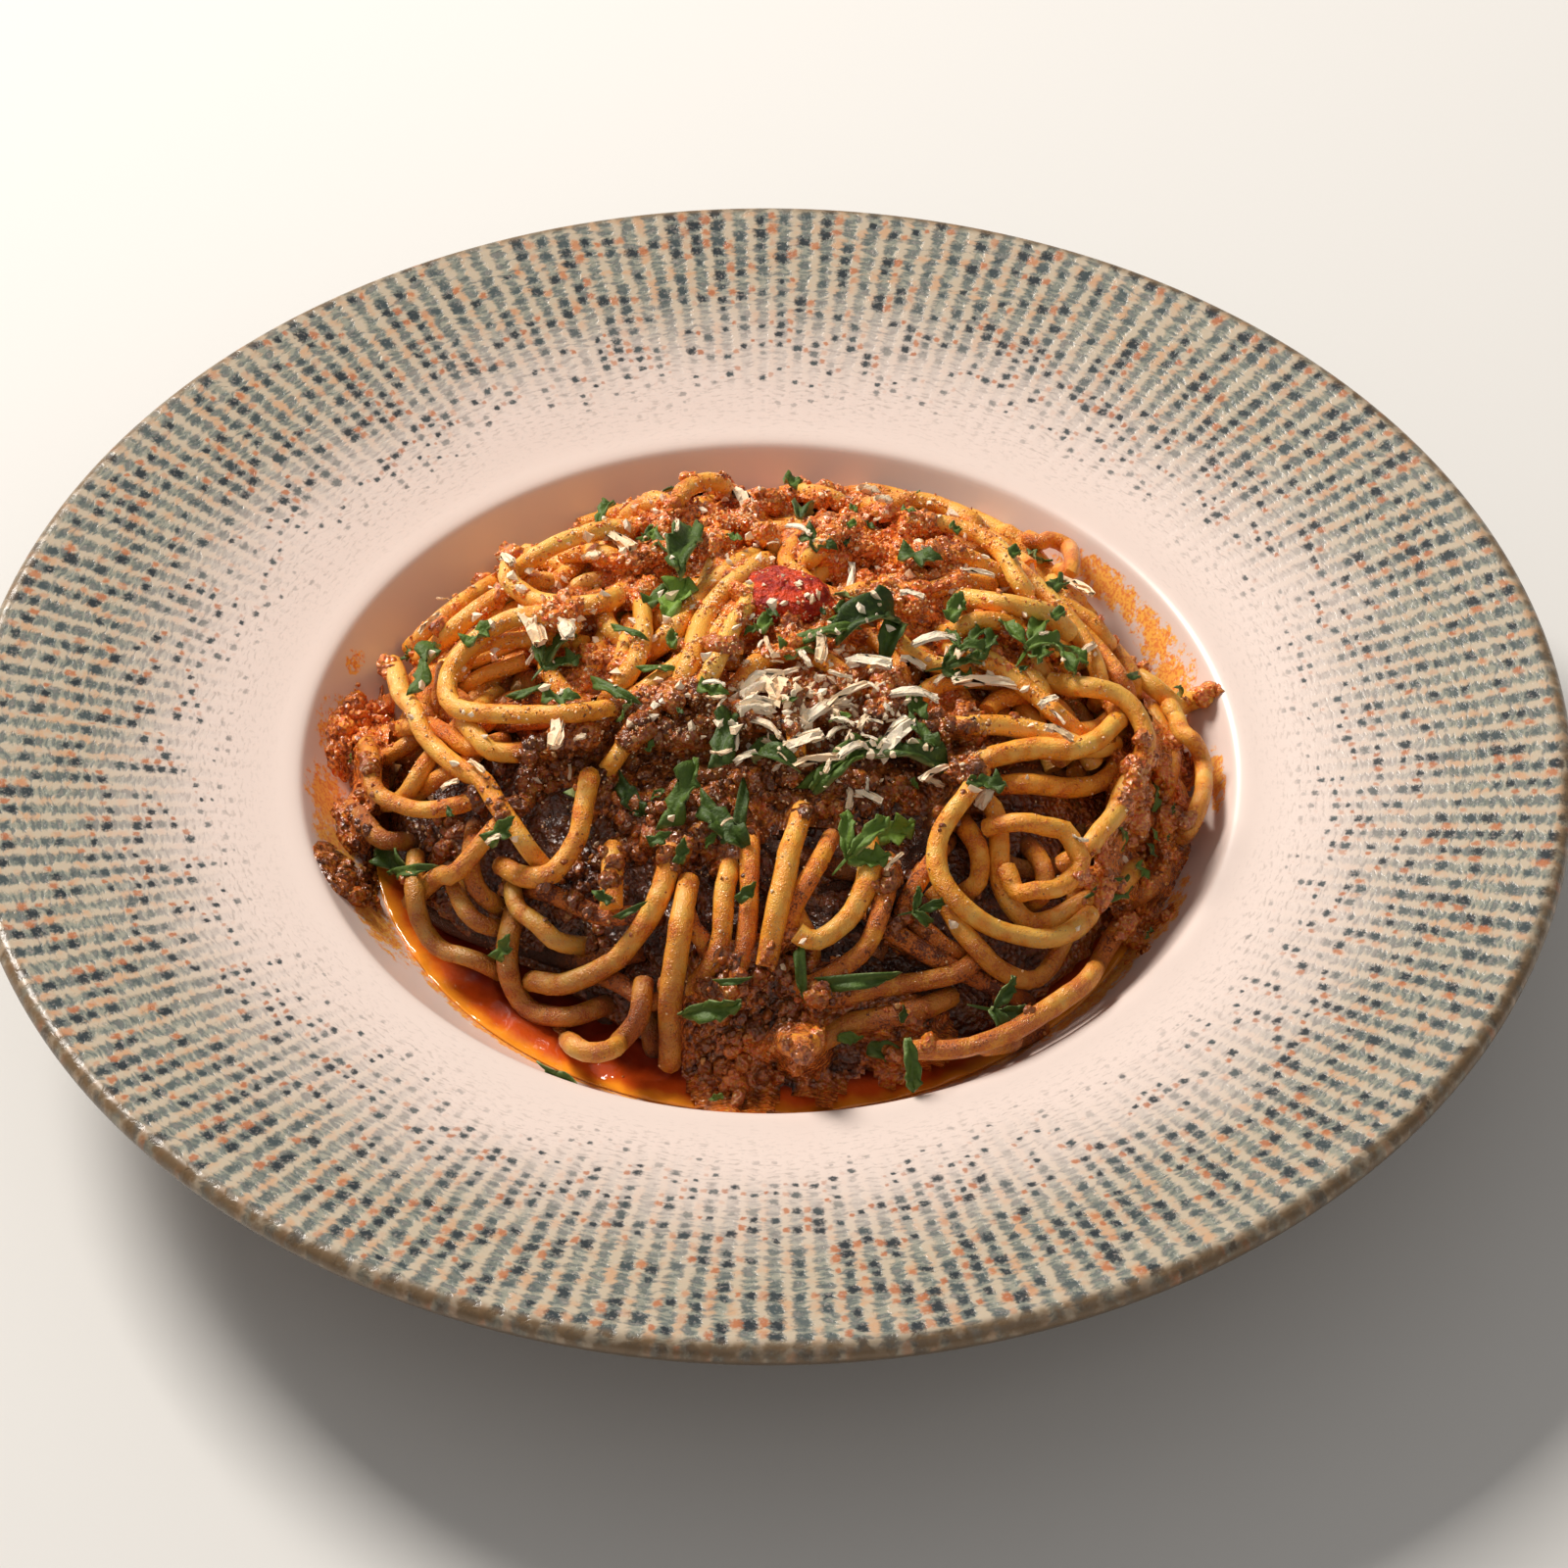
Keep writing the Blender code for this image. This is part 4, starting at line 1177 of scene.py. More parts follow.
# %% Spread of the sauce
# place, half width, half depth, turn in degrees, strength
SAUCE_SPREAD = [
    (-12, 36, 10, 12, 10, 0.9), (1, 45, 12, 7, 0, 0.8), (20, 33, 13, 14, 0, 1.0), (5, 8, 11, 9, 0, 0.9),
    (24, 11, 8, 7, 0, 0.8), (-37, 13, 8, 7, 0, 0.55), (-31, -1, 8, 7, 0, 0.5), (-45, 25, 10, 5, 20, 0.5),
    (-21, 26, 8, 11, -10, 0.7), (-14, -14, 13, 8, 10, 1.0), (-38, -20, 13, 6, 12, 0.95),
        (-14, -32, 13, 9, 0, 1.0),
    (8, -28, 21, 6, 0, 1.0), (31, -17, 7, 9, 0, 0.9), (-30, -43, 9, 6, -20, 0.8),
        (-1, -61, 13, 8, 0, 0.95), (22, -61, 9, 3.5, 15, 0.6),
    (67, -10, 6, 15, -8, 0.9), (71, 6, 4, 8, 0, 0.6), (-73, 9, 5, 11, 0, 0.9), (-73, -25, 5, 7, 20, 0.9),
    (12, -12, 14, 10, 0, 0.9), (45, 10, 8, 6, 0, 0.6), (24, -45, 7, 5, 0, 0.7), (60, -31, 9, 8, 30, 0.7),
    (-55, -24, 6, 5, 0, 0.75), (-72, -8, 4, 9, 0, 0.65), (-28, -38, 8, 4, 0, 0.6), (42, -54, 8, 3, 10, 0.6),
]


def sauce_at(plan):
    """How thick the sauce lies at plan places, from 0 to about 1."""
    plan = np.asarray(plan, float)
    amount = np.zeros(len(plan))
    for x, y, half_x, half_y, degrees, strength in SAUCE_SPREAD:
        turned_by = math.radians(degrees)
        dx, dy = plan[:, 0] - x, plan[:, 1] - y
        across = (dx * math.cos(turned_by) + dy * math.sin(turned_by)) / half_x
        along = (dy * math.cos(turned_by) - dx * math.sin(turned_by)) / half_y
        oval = np.clip(1.6 - 1.15 * np.sqrt(across ** 2 + along ** 2), 0.0, 1.0)
        amount = np.maximum(amount, oval * strength)
    patches = np.array([noise.noise(Vector((x, y, 0.0)) / 6.0) for x, y in plan])
    return np.clip(amount + 0.45 * patches * (amount > 0.05), 0.0, 1.0)


print("sauce under the cheese:", round(float(sauce_at([(5.0, -10.0)])[0]), 2))

# %% [markdown]
# ## Strands with a round section
# A curve with a round bevel is Blender's quickest noodle: one spline for each strand, a little thicker and
# thinner along the way, with flat ends as spaghetti is cut. The curve is then converted to a mesh, its
# loose end caps are merged, and each point of the mesh remembers three numbers from its bead: how much
# sauce clings to it, a random number of its strand, so that the pasta finish can tell one strand from the
# next, and how deep it lies, which paints shade into the colour of deep strands and low ones in front. The
# sauce number also grows on the front of the heap, which paints its shade there.

# %% Spaghetti
SIDES_RESOLUTION = 3


def strand_curve(name, rows, widths):
    """One curve object with a spline for each row of beads."""
    data = bpy.data.curves.new(name, "CURVE")
    data.dimensions = "3D"
    data.bevel_depth = MM
    data.bevel_resolution = SIDES_RESOLUTION
    data.use_fill_caps = True
    for row, width in zip(rows, widths):
        spline = data.splines.new("POLY")
        spline.points.add(len(row) - 1)
        spline.points.foreach_set("co", np.column_stack((row * MM, np.ones(len(row)))).ravel())
        spline.points.foreach_set("radius", width)
        spline.use_smooth = True
    piece = bpy.data.objects.new(name, data)
    bpy.context.collection.objects.link(piece)
    return piece


def as_mesh(piece):
    """Converts a curve object to a mesh with its caps merged."""
    select_only(piece)
    bpy.ops.object.convert(target="MESH")
    edit_mesh()
    bpy.ops.mesh.remove_doubles(threshold=0.01 * MM)
    faces_outward()
    bpy.ops.object.shade_smooth_by_angle(angle=math.radians(60))
    return bpy.context.object


def sauce_of(points, base):
    """Sauce on each bead: its strand's share, more near the meat sauce, low down and in front, patchy."""
    patches = np.array([noise.noise(Vector(p) / 7.0) for p in points])
    # painted shade: more dark sauce colour on the shaded front of the heap, less on its lit back
    front_shade = front_shade_share(points)
    low = np.clip((30.0 - points[:, 2]) / 14.0, 0.0, 1.0) * (0.3 + 0.7 * front_shade)
    ladled = sauce_at(plan_of(points)) * (0.6 + 0.4 * front_shade)
    return np.clip(base - 0.16 * (1.0 - front_shade) + 0.22 * patches + 0.25 * low + 0.32 * ladled, 0.0, 1.1)


rows = np.split(beads, np.flatnonzero(first_bead)[1:])
thinner = [1.0 + 0.045 * np.sin(np.arange(len(row)) * 0.37 + index) for index, row in enumerate(rows)]
widths = [thickness[index] / 2 * thinner[index] for index in range(len(rows))]
spaghetti = as_mesh(strand_curve("spaghetti_strands", rows, widths))
# painted shade: loose strands in front get more dark sauce colour, for the shade on the heap's front
shaded_in_front = np.array([line[:, 1].mean() < 8.0 for line in loose], float)
base_sauce = [plan[2] for plan in strand_plans] + list(dice.uniform(0.12, 0.5, len(loose)) + 0.35
    * shaded_in_front)
bead_sauce = sauce_of(beads, np.array(base_sauce)[strand])
strand_chance = dice.uniform(0, 1, len(rows))[strand]
nearest = KDTree(len(beads))
for index, bead in enumerate(beads):
    nearest.insert(bead, index)
nearest.balance()
found = [nearest.find(point.co / MM)[1] for point in spaghetti.data.vertices]
keep_number(spaghetti, "sauce", bead_sauce[found])
keep_number(spaghetti, "strand", strand_chance[found])
# painted shade: strands deep in the heap, and low ones on its front, are turned towards near black
bead_deep_shade = np.clip((-above_heap(beads) - 0.8) / 4.0, 0.0, 1.0) * (0.45 + 0.55 * front_shade_share(beads))
shaded = 0.55 * front_shade_share(beads) * np.clip((44.0 - beads[:, 2]) / 17.0, 0.0, 1.0)
keep_number(spaghetti, "deep", np.maximum(bead_deep_shade, shaded)[found])
normals_before = [point.normal.copy() for point in spaghetti.data.vertices]
for point, normal in zip(spaghetti.data.vertices, normals_before):
    point.co += normal * wobble(point.co / MM, 1.5, 0.14) * MM


def pasta_finish():
    """Semolina yellow under a film of sauce, with grit, specks and cheese bits; painted shade where deep."""
    pasta = Finish("spaghetti with sauce", Roughness=0.42, Coat_Weight=0.4, Coat_Roughness=0.1,
        Subsurface_Weight=0.2)
    pasta.shader.inputs["Subsurface Radius"].default_value = (0.0030, 0.0012, 0.0003)
    fine = pasta.noise(2.3, 3.0)
    film = pasta.scaled(pasta.noise(0.3, 4.0), 2.0, -1.0)
    sauce = pasta.plus(pasta.own("sauce"), film)
    sauce = pasta.plus(sauce, pasta.scaled(pasta.own("strand"), 0.16, -0.08))
    gritty = pasta.plus(sauce, pasta.scaled(fine, 1.5, -0.75))
    pale = pasta.mix(pasta.own("strand"), (1.0, 0.54, 0.085), (0.93, 0.44, 0.052))
    tinted = pasta.mix(pasta.rise(sauce, -0.05, 0.38), pale, (1.0, 0.365, 0.018))
    reddish = pasta.mix(pasta.rise(gritty, 0.40, 0.74, 0.0, 0.9), tinted, (0.84, 0.19, 0.011))
    soaked = pasta.mix(pasta.rise(gritty, 0.86, 1.2), reddish, (0.20, 0.034, 0.005))
    specks = pasta.times(pasta.rise(pasta.noise(3.6, 2.0), 0.61, 0.72), 0.38)
    specked = pasta.mix(specks, soaked, (0.55, 0.11, 0.010))
    crumbs = pasta.times(pasta.rise(pasta.cells(1.5), 0.14, 0.24, 1.0, 0.0),
        pasta.rise(pasta.noise(0.22, 2.0), 0.46, 0.6))
    dusted = pasta.mix(pasta.times(crumbs, 0.75), specked, (0.96, 0.68, 0.34))
    # painted shade from the number deep
    pasta.colour(pasta.mix(pasta.own("deep"), dusted, (0.060, 0.016, 0.003)))
    grit = pasta.times(pasta.rise(sauce, 0.1, 0.8, 0.35, 1.0), pasta.plus(fine, pasta.noise(4.0, 2.0)))
    pasta.relief(pasta.plus(grit, crumbs), 0.42)
    return pasta.material


spaghetti.data.materials.append(pasta_finish())
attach(spaghetti, "root")
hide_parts("spaghetti_heap")
print("spaghetti triangles:", triangles(spaghetti))

# %% [markdown]
# ## Finding what is on top
# Sauce, crumbs, herbs and cheese lie on the strands, and not on a formula. So from here on the food that is
# already made is searched: a ray goes from the camera's side through a place of the plan, or straight into
# the heap from outside for the back that the camera doesn't see, and what it meets first is where the next
# thing comes to rest.

# %% Searching the food
class Landing:
    """The food made so far, as one searchable surface."""

    def __init__(self, *pieces):
        points, faces = [], []
        for piece in pieces:
            faces += [[corner + len(points) for corner in face.vertices] for face in piece.data.polygons]
            points += [point.co / MM for point in piece.data.vertices]
        self.tree = BVHTree.FromPolygons(points, faces)

    def seen(self, plan):
        """Where the line of sight through each plan place meets the food: places and normals in mm."""
        guides = guide_points(plan)
        ways = -towards_eye(guides)
        return self.met(guides - ways * 60.0, ways)

    def met(self, origins, ways):
        places, normals = [], []
        for origin, way in zip(origins, ways):
            place, normal, face, reach = self.tree.ray_cast(Vector(origin), Vector(way))
            places.append(tuple(place) if place else (np.nan,) * 3)
            normals.append(tuple(normal) if place else (0.0, 0.0, 1.0))
        return np.array(places), np.array(normals)


landing = Landing(spaghetti, core, pool, bowl)
print("searchable surface ready; the middle is at", landing.seen([(0.0, 0.0)])[0].round(1).tolist())

# %% [markdown]
# ## Beds of meat sauce
# Where the sauce is thick it is a coarse, wet mass, and strands dip in and out of it. Each bed starts as a
# fine grid over an oval of the plan. Every grid point is sent down its line of sight onto the strands,
# raised by the thickness of the sauce there and by lumps as large as minced meat. Faces without sauce are
# deleted, and the sheet that is left is extruded backwards, so that the bed is a closed body.

# %% Beds
BED_GRID = 0.75
BED_BACK = 5.0


def select_faces(piece, chosen):
    """Goes into edit mode with just the chosen faces selected, from a list of yes and no."""
    bpy.ops.object.mode_set(mode="EDIT")
    bpy.ops.mesh.select_mode(type="FACE")
    bpy.ops.mesh.select_all(action="DESELECT")
    bpy.ops.object.mode_set(mode="OBJECT")
    piece.data.polygons.foreach_set("select", chosen)
    bpy.ops.object.mode_set(mode="EDIT")


def sauce_bed(name, x, y, half_x, half_y, thick, seed):
    """A closed bed of meat sauce over an oval of the plan."""
    deselect()
    columns = int(2 * half_x / BED_GRID)
    rows = int(2 * half_y / BED_GRID)
    bpy.ops.mesh.primitive_grid_add(x_subdivisions=columns, y_subdivisions=rows, size=2)
    piece = bpy.context.object
    piece.name = name
    corners = np.array([point.co for point in piece.data.vertices])
    plan = np.column_stack((x + corners[:, 0] * half_x, y + corners[:, 1] * half_y))
    outside = from_axis(corners) > 1.0
    guides = guide_points(plan)
    sight_here = towards_eye(guides)
    hits, _ = landing.seen(plan)
    reach = ((hits - guides) * sight_here).sum(1)
    reach = np.where(np.isnan(reach), -20.0, reach).reshape(rows + 1, columns + 1)
    for _ in range(5):
        padded = np.pad(reach, 1, mode="edge")
        reach = (padded[:-2, 1:-1] + padded[2:, 1:-1] + padded[1:-1, :-2] + padded[1:-1, 2:] + reach
            * 2) / 6
    reach = reach.ravel()
    amount = sauce_at(plan)
    places = guides + sight_here * reach[:, None]
    lumps = np.array([lumpy(place, seed) for place in places])
    raised = thick * (amount - 0.42) + lumps * (0.4 + 0.95 * amount)
    edge = np.clip((from_axis(corners) - 0.8) / 0.2, 0.0, 1.0)
    raised -= 3.0 * edge ** 2
    places = places + sight_here * np.clip(raised, -4.0, 5.0)[:, None]
    piece.data.vertices.foreach_set("co", (places * MM).ravel())
    back = Vector(-sight_here.mean(0)) * BED_BACK * MM
    piece.data.update()
    sunk = outside | (amount < 0.16)
    select_faces(piece, [bool(sunk[list(face.vertices)].all()) for face in piece.data.polygons])
    bpy.ops.mesh.delete(type="FACE")
    bpy.ops.mesh.select_all(action="SELECT")
    bpy.ops.mesh.delete_loose()
    bpy.ops.mesh.select_all(action="SELECT")
    bpy.ops.mesh.extrude_region_move(TRANSFORM_OT_translate={"value": back})
    faces_outward()
    bpy.ops.object.shade_smooth_by_angle(angle=math.radians(70))
    # painted shade on the bed: on the front of the heap and in the hollows between lumps
    front_shade = front_shade_share(mesh_points(piece))
    hollow_shade = np.array([0.35 - 0.5 * lumpy(place, seed) for place in mesh_points(piece)])
    keep_number(piece, "dark", np.clip(0.03 + 0.6 * front_shade + (0.6 + 0.4 * front_shade) * hollow_shade, 0.0, 0.95))
    return piece


ragu_material = ragu_finish("meat sauce", 0.5)
wet_ragu_material = ragu_finish("wet meat sauce", 1.0)
# name, middle on the plan, half width, half depth, thickness in mm, finish, node
beds = [
    ("ragu_top_bed", 2, 3, 46, 50, 3.4, ragu_material, "ragu_top"),
    ("ragu_left_bed", -73, -6, 9, 28, 3.0, wet_ragu_material, "ragu_left"),
    ("ragu_right_bed", 66, -10, 12, 26, 3.0, wet_ragu_material, "ragu_right"),
    ("ragu_front_bed", 4, -59, 30, 13, 2.6, wet_ragu_material, "ragu_front"),
]
bed_pieces = []
for number, (name, x, y, half_x, half_y, thick, material, node) in enumerate(beds):
    piece = sauce_bed(name, x, y, half_x, half_y, thick, 3.7 * number)
    piece.data.materials.append(material)
    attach(piece, "root")
    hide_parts(node)
    bed_pieces.append(piece)
    print(name, "triangles:", triangles(piece))

# %% [markdown]
# ## Lumps and grains
# Minced meat breaks into lumps of two to five millimetres and grains of about one. A lump is modelled once
# from a small ball: its points are pushed about at random and it is squashed. Four such lumps, three grains
# and two flecks, each turned any way, are enough that no two neighbours look alike. The copies are then
# joined into one mesh by adding up arrays, which is far quicker than a thousand objects, and the export
# keeps them, as it wouldn't keep particles. Each copy has a tone: brown meat at 0, red pulp at 0.7 and an
# orange crumb at 1.

# %% Copies of small pieces
def template(detail, push, stretch, seed):
    """A small ball, randomly dented and stretched: its points in radii and its faces."""
    deselect()
    bpy.ops.mesh.primitive_ico_sphere_add(subdivisions=detail, radius=1.0)
    piece = bpy.context.object
    edit_mesh()
    bpy.ops.transform.vertex_random(offset=push, uniform=0.7, normal=0.5, seed=seed)
    bpy.ops.transform.resize(value=stretch, center_override=(0, 0, 0))
    faces_outward()
    return taken(piece)


def templates(detail, push, stretches, seed):
    """One small ball for each stretch, each with its own dents."""
    return [template(detail, push, stretch, seed + number) for number, stretch in enumerate(stretches)]


def taken(piece):
    """A template's points and faces as arrays; the object itself is removed."""
    points = np.array([point.co for point in piece.data.vertices])
    faces = [tuple(face.vertices) for face in piece.data.polygons]
    bpy.data.objects.remove(piece)
    return points, faces


# no copy stands higher than this, in mm, so the dish keeps the height of its plain solids
COPIES_TOP = 62.3


def joined_copies(name, templates, spots, crisp=False):
    """One mesh from many copies; a spot is (template number, place in mm, 3 by 3 axes, size in mm, tone)."""
    points, faces, tones = [], [], []
    count = 0
    for which, place, axes, size, tone in spots:
        shape, corners = templates[which]
        copy = (shape * size) @ np.asarray(axes) + place
        copy[:, 2] -= max(0.0, copy[:, 2].max() - COPIES_TOP)
        points.append(copy)
        faces += [tuple(corner + count for corner in face) for face in corners]
        tones.append(np.full(len(shape), tone))
        count += len(shape)
    data = bpy.data.meshes.new(name)
    data.from_pydata(np.vstack(points) * MM, [], faces)
    data.update()
    piece = bpy.data.objects.new(name, data)
    bpy.context.collection.objects.link(piece)
    keep_number(piece, "tone", np.concatenate(tones))
    # dark: each copy's own lighter or darker tone, plus painted shade on the front of the heap
    own_dark = 0.32 * ((np.concatenate(tones) * 7.3) % 1.0 - 0.45)
    keep_number(piece, "dark", np.clip(0.50 * front_shade_share(mesh_points(piece)) + own_dark, 0.0, 0.78))
    select_only(piece)
    if crisp:
        bpy.ops.object.shade_smooth_by_angle(angle=math.radians(35))
    else:
        bpy.ops.object.shade_smooth()
    return piece


def any_axes():
    """Random axes for a piece that may lie any way."""
    turned_by = dice.normal(0, 1, (3, 3))
    return np.linalg.qr(turned_by)[0]


def dress(piece, material):
    """Gives a loose piece its finish and lets it ride on the dish."""
    piece.data.materials.append(material)
    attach(piece, "root")
    print(piece.name, "triangles:", triangles(piece))
    return piece


LUMP_STRETCHES = ((1, 0.8, 0.7), (1.2, 0.9, 0.7), (1, 1, 0.8), (0.9, 0.75, 0.85))
GRAIN_STRETCHES = ((1, 0.8, 0.75), (1.25, 0.8, 0.7), (1, 1, 0.85))
FLECK_STRETCHES = ((1, 0.8, 0.7), (1.3, 0.7, 0.6))
lump_shapes = templates(2, 0.24, LUMP_STRETCHES, 0)
grain_shapes = templates(1, 0.26, GRAIN_STRETCHES, 10)
fleck_shapes = templates(1, 0.25, FLECK_STRETCHES, 20)
print("template faces:", len(lump_shapes[0][1]), len(grain_shapes[0][1]), len(fleck_shapes[0][1]))

# %% [markdown]
# ## Meat lumps and grains on the sauce
# Places are drawn at random over the plan, kept where the sauce is thick, and sent down onto what lies
# there. Each lump sinks a little into the sauce. A few are listed one by one: a small clump on the wall at
# the right and the three on the crest that give the heap its full height. Single grains also stick to bare
# strands, in clusters, fewer and fewer away from the middle of the top, and another scatter comes in from
# the back and the sides, which the camera hardly sees.

# %% Lumps and grains
HEAP_REACH = 78.0
TOP_REACH = 70.0
LUMP_TRIES = 6000
LARGE_LUMP_TRIES = 1300
GRAIN_TRIES = 6500
CRUMB_TRIES = 9000
LUMPS_BEHIND = 260
GRAINS_BEHIND = 1700


def plan_draw(count, least, power):
    """Random plan places where the sauce is at least so thick, more of them where it is thicker."""
    radius_here = np.sqrt(dice.uniform(0, 1, count)) * HEAP_REACH
    angle = dice.uniform(0, 2 * math.pi, count)
    plan = np.column_stack((radius_here * np.cos(angle), radius_here * np.sin(angle)))
    amount = sauce_at(plan)
    return plan[(amount > least) & (dice.uniform(0, 1, count) < amount ** power)]


def clustered(plan):
    """Leaves out places so that the others lie in clusters of a few millimetres."""
    fine = np.array([noise.noise(Vector((x, y, 0.0)) / 2.6) for x, y in plan])
    wide = np.array([noise.noise(Vector((x, y, 9.0)) / 9.0) for x, y in plan])
    return plan[dice.uniform(0, 1, len(plan)) < np.clip(0.35 + 2.2 * (fine + 0.5 * wide), 0.0, 1.0)]


def off_wall(plan):
    """Leaves out places that would land on the bare wall of the bowl."""
    return plan[above_wall(landing.seen(plan)[0]) > 0.9]


def from_outside(count):
    """Random places met by rays that go straight into the heap from outside, where the camera sees little."""
    direction = dice.normal(0, 1, (count, 3)) + np.array([0, 0.5, 0.5])
    direction[:, 2] = np.abs(direction[:, 2])
    direction /= np.linalg.norm(direction, axis=1, keepdims=True)
    inside = np.column_stack((direction[:, :2] * 34.0, np.full(count, 22.0)))
    places, normals = landing.met(inside + direction * 90.0, -direction)
    on_food = (from_axis(places) < TOP_REACH) & (places[:, 2] > SAUCE_LEVEL)
    away_from_eye = (normals * towards_eye(places)).sum(1) < 0.25
    return places[on_food & away_from_eye], normals[on_food & away_from_eye]


def resting_spots(shapes, landed, smallest, largest, sink, tones):
    """Spots for copies that rest on places, more small than large, with tones between two."""
    spots = []
    places, normals = landed
    tones = dice.uniform(*tones, len(places))
    for place, normal, share, tone in zip(places, normals, dice.uniform(0, 1, len(places)), tones):
        if np.isnan(place[0]):
            continue
        size = smallest + (largest - smallest) * share ** 2
        spots.append((int(dice.integers(len(shapes))), place + normal * size * sink, any_axes(), size,
            tone))
    return spots


landing = Landing(spaghetti, core, pool, bowl, *bed_pieces)
small = landing.seen(plan_draw(LUMP_TRIES, 0.40, 1.0))
lump_spots = resting_spots(lump_shapes, small, 0.6, 2.4, -0.25, (0, 0.7))
large = landing.seen(plan_draw(LARGE_LUMP_TRIES, 0.6, 1.0))
lump_spots += resting_spots(lump_shapes, large, 1.6, 2.9, -0.2, (0, 0.9))
lump_spots += resting_spots(lump_shapes, from_outside(LUMPS_BEHIND), 0.9, 2.2, 0.0, (0, 0.6))
# place on the plan and radius, in mm
CLUMPS = [(75, 19.5, 1.3), (77, 19, 1.6), (79, 18, 1.7), (80, 17, 1.5), (78, 17, 1.5),
          (-8, 3, 2.9), (-5, 16, 2.6), (3, 5, 2.5)]
places, normals = landing.seen([clump[:2] for clump in CLUMPS])
for place, normal, clump in zip(places, normals, CLUMPS):
    lump_spots.append((int(dice.integers(len(lump_shapes))), place - normal * 0.5, any_axes(), clump[2],
        0.66))
lumps = dress(joined_copies("meat_lumps", lump_shapes, lump_spots), ragu_material)

landing = Landing(spaghetti, core, pool, bowl, lumps, *bed_pieces)
on_sauce = landing.seen(plan_draw(GRAIN_TRIES, 0.35, 0.8))
grain_spots = resting_spots(grain_shapes, on_sauce, 0.28, 0.85, -0.1, (0.2, 1))
plan = clustered(np.column_stack((dice.normal(0, 34, CRUMB_TRIES), dice.normal(16, 28, CRUMB_TRIES))))
plan = off_wall(plan[from_axis(plan) < TOP_REACH])
grain_spots += resting_spots(grain_shapes, landing.seen(plan), 0.2, 0.5, -0.2, (0.7, 1.0))
grain_spots += resting_spots(grain_shapes, from_outside(GRAINS_BEHIND), 0.25, 0.8, 0.2, (0.2, 0.95))
grains = dress(joined_copies("meat_grains", grain_shapes, grain_spots), ragu_material)

# %% [markdown]
# ## The piece of tomato
# One soft piece of stewed tomato lies near the middle of the top. It starts as a ball, is stretched over
# the place of its plain solid, pushed into soft lobes and sunk between the strands, and its finish is the
# cleanest red of the dish with a wet skin.

# %% Tomato
tomato_low, tomato_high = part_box("tomato_chunk")
deselect()
bpy.ops.mesh.primitive_ico_sphere_add(subdivisions=5, radius=1.0)
tomato = bpy.context.object
tomato.name = "stewed_tomato"
middle = (tomato_low + tomato_high) / 2 / MM
half = (tomato_high - tomato_low) / 2 / MM
for point in tomato.data.vertices:
    unit = point.co.normalized()
    lobes = 1.0 + 0.2 * noise.noise(unit * 1.7 + Vector((2, 0, 0))) + 0.1 * noise.noise(unit * 4.0)
    lobes += 0.05 * noise.noise(unit * 9.0) + 0.03 * noise.noise(unit * 18.0)
    stretched = Vector((unit.x * half.x * 1.1, unit.y * half.y * 1.05, unit.z * half.z * 0.62 - 1.8))
    point.co = (middle + stretched * lobes) * MM


def tomato_finish():
    tomato = Finish("stewed tomato", Roughness=0.38, Specular_IOR_Level=0.3, Coat_Weight=0.15,
        Coat_Roughness=0.1)
    # painted shade in random patches, from dark to bright red
    shade = tomato.rise(tomato.noise(0.5, 4.0), 0.35, 0.65)
    pulp = tomato.mix(shade, (0.34, 0.006, 0.001), (0.80, 0.060, 0.002))
    # painted highlights: orange patches laid at random by noise
    tomato.colour(tomato.mix(tomato.rise(tomato.noise(0.9, 3.0), 0.60, 0.74), pulp, (0.96, 0.26, 0.012)))
    tomato.relief(tomato.noise(1.0, 4.0), 1.2)
    return tomato.material


select_only(tomato)
bpy.ops.object.shade_smooth()
dress(tomato, tomato_finish())
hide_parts("tomato_chunk")

# %% [markdown]
# ## Parsley
# The herb is flat-leaf parsley, torn and roughly chopped: narrow blades with shallow teeth, wedges with
# straight cuts, strips that the knife left, curled bits and a stalk or two, and a few small sprigs put
# together from these. A leaf is a small grid. Its width follows a curve with teeth, which the knife's cut
# partly replaces, it is folded along its middle rib and curled, and Solidify gives it the thickness of a
# leaf. The underside is paler, so each template keeps a number that is 0 above and 1 below.

# %% Leaf shapes
LEAF_THICKNESS = 0.035


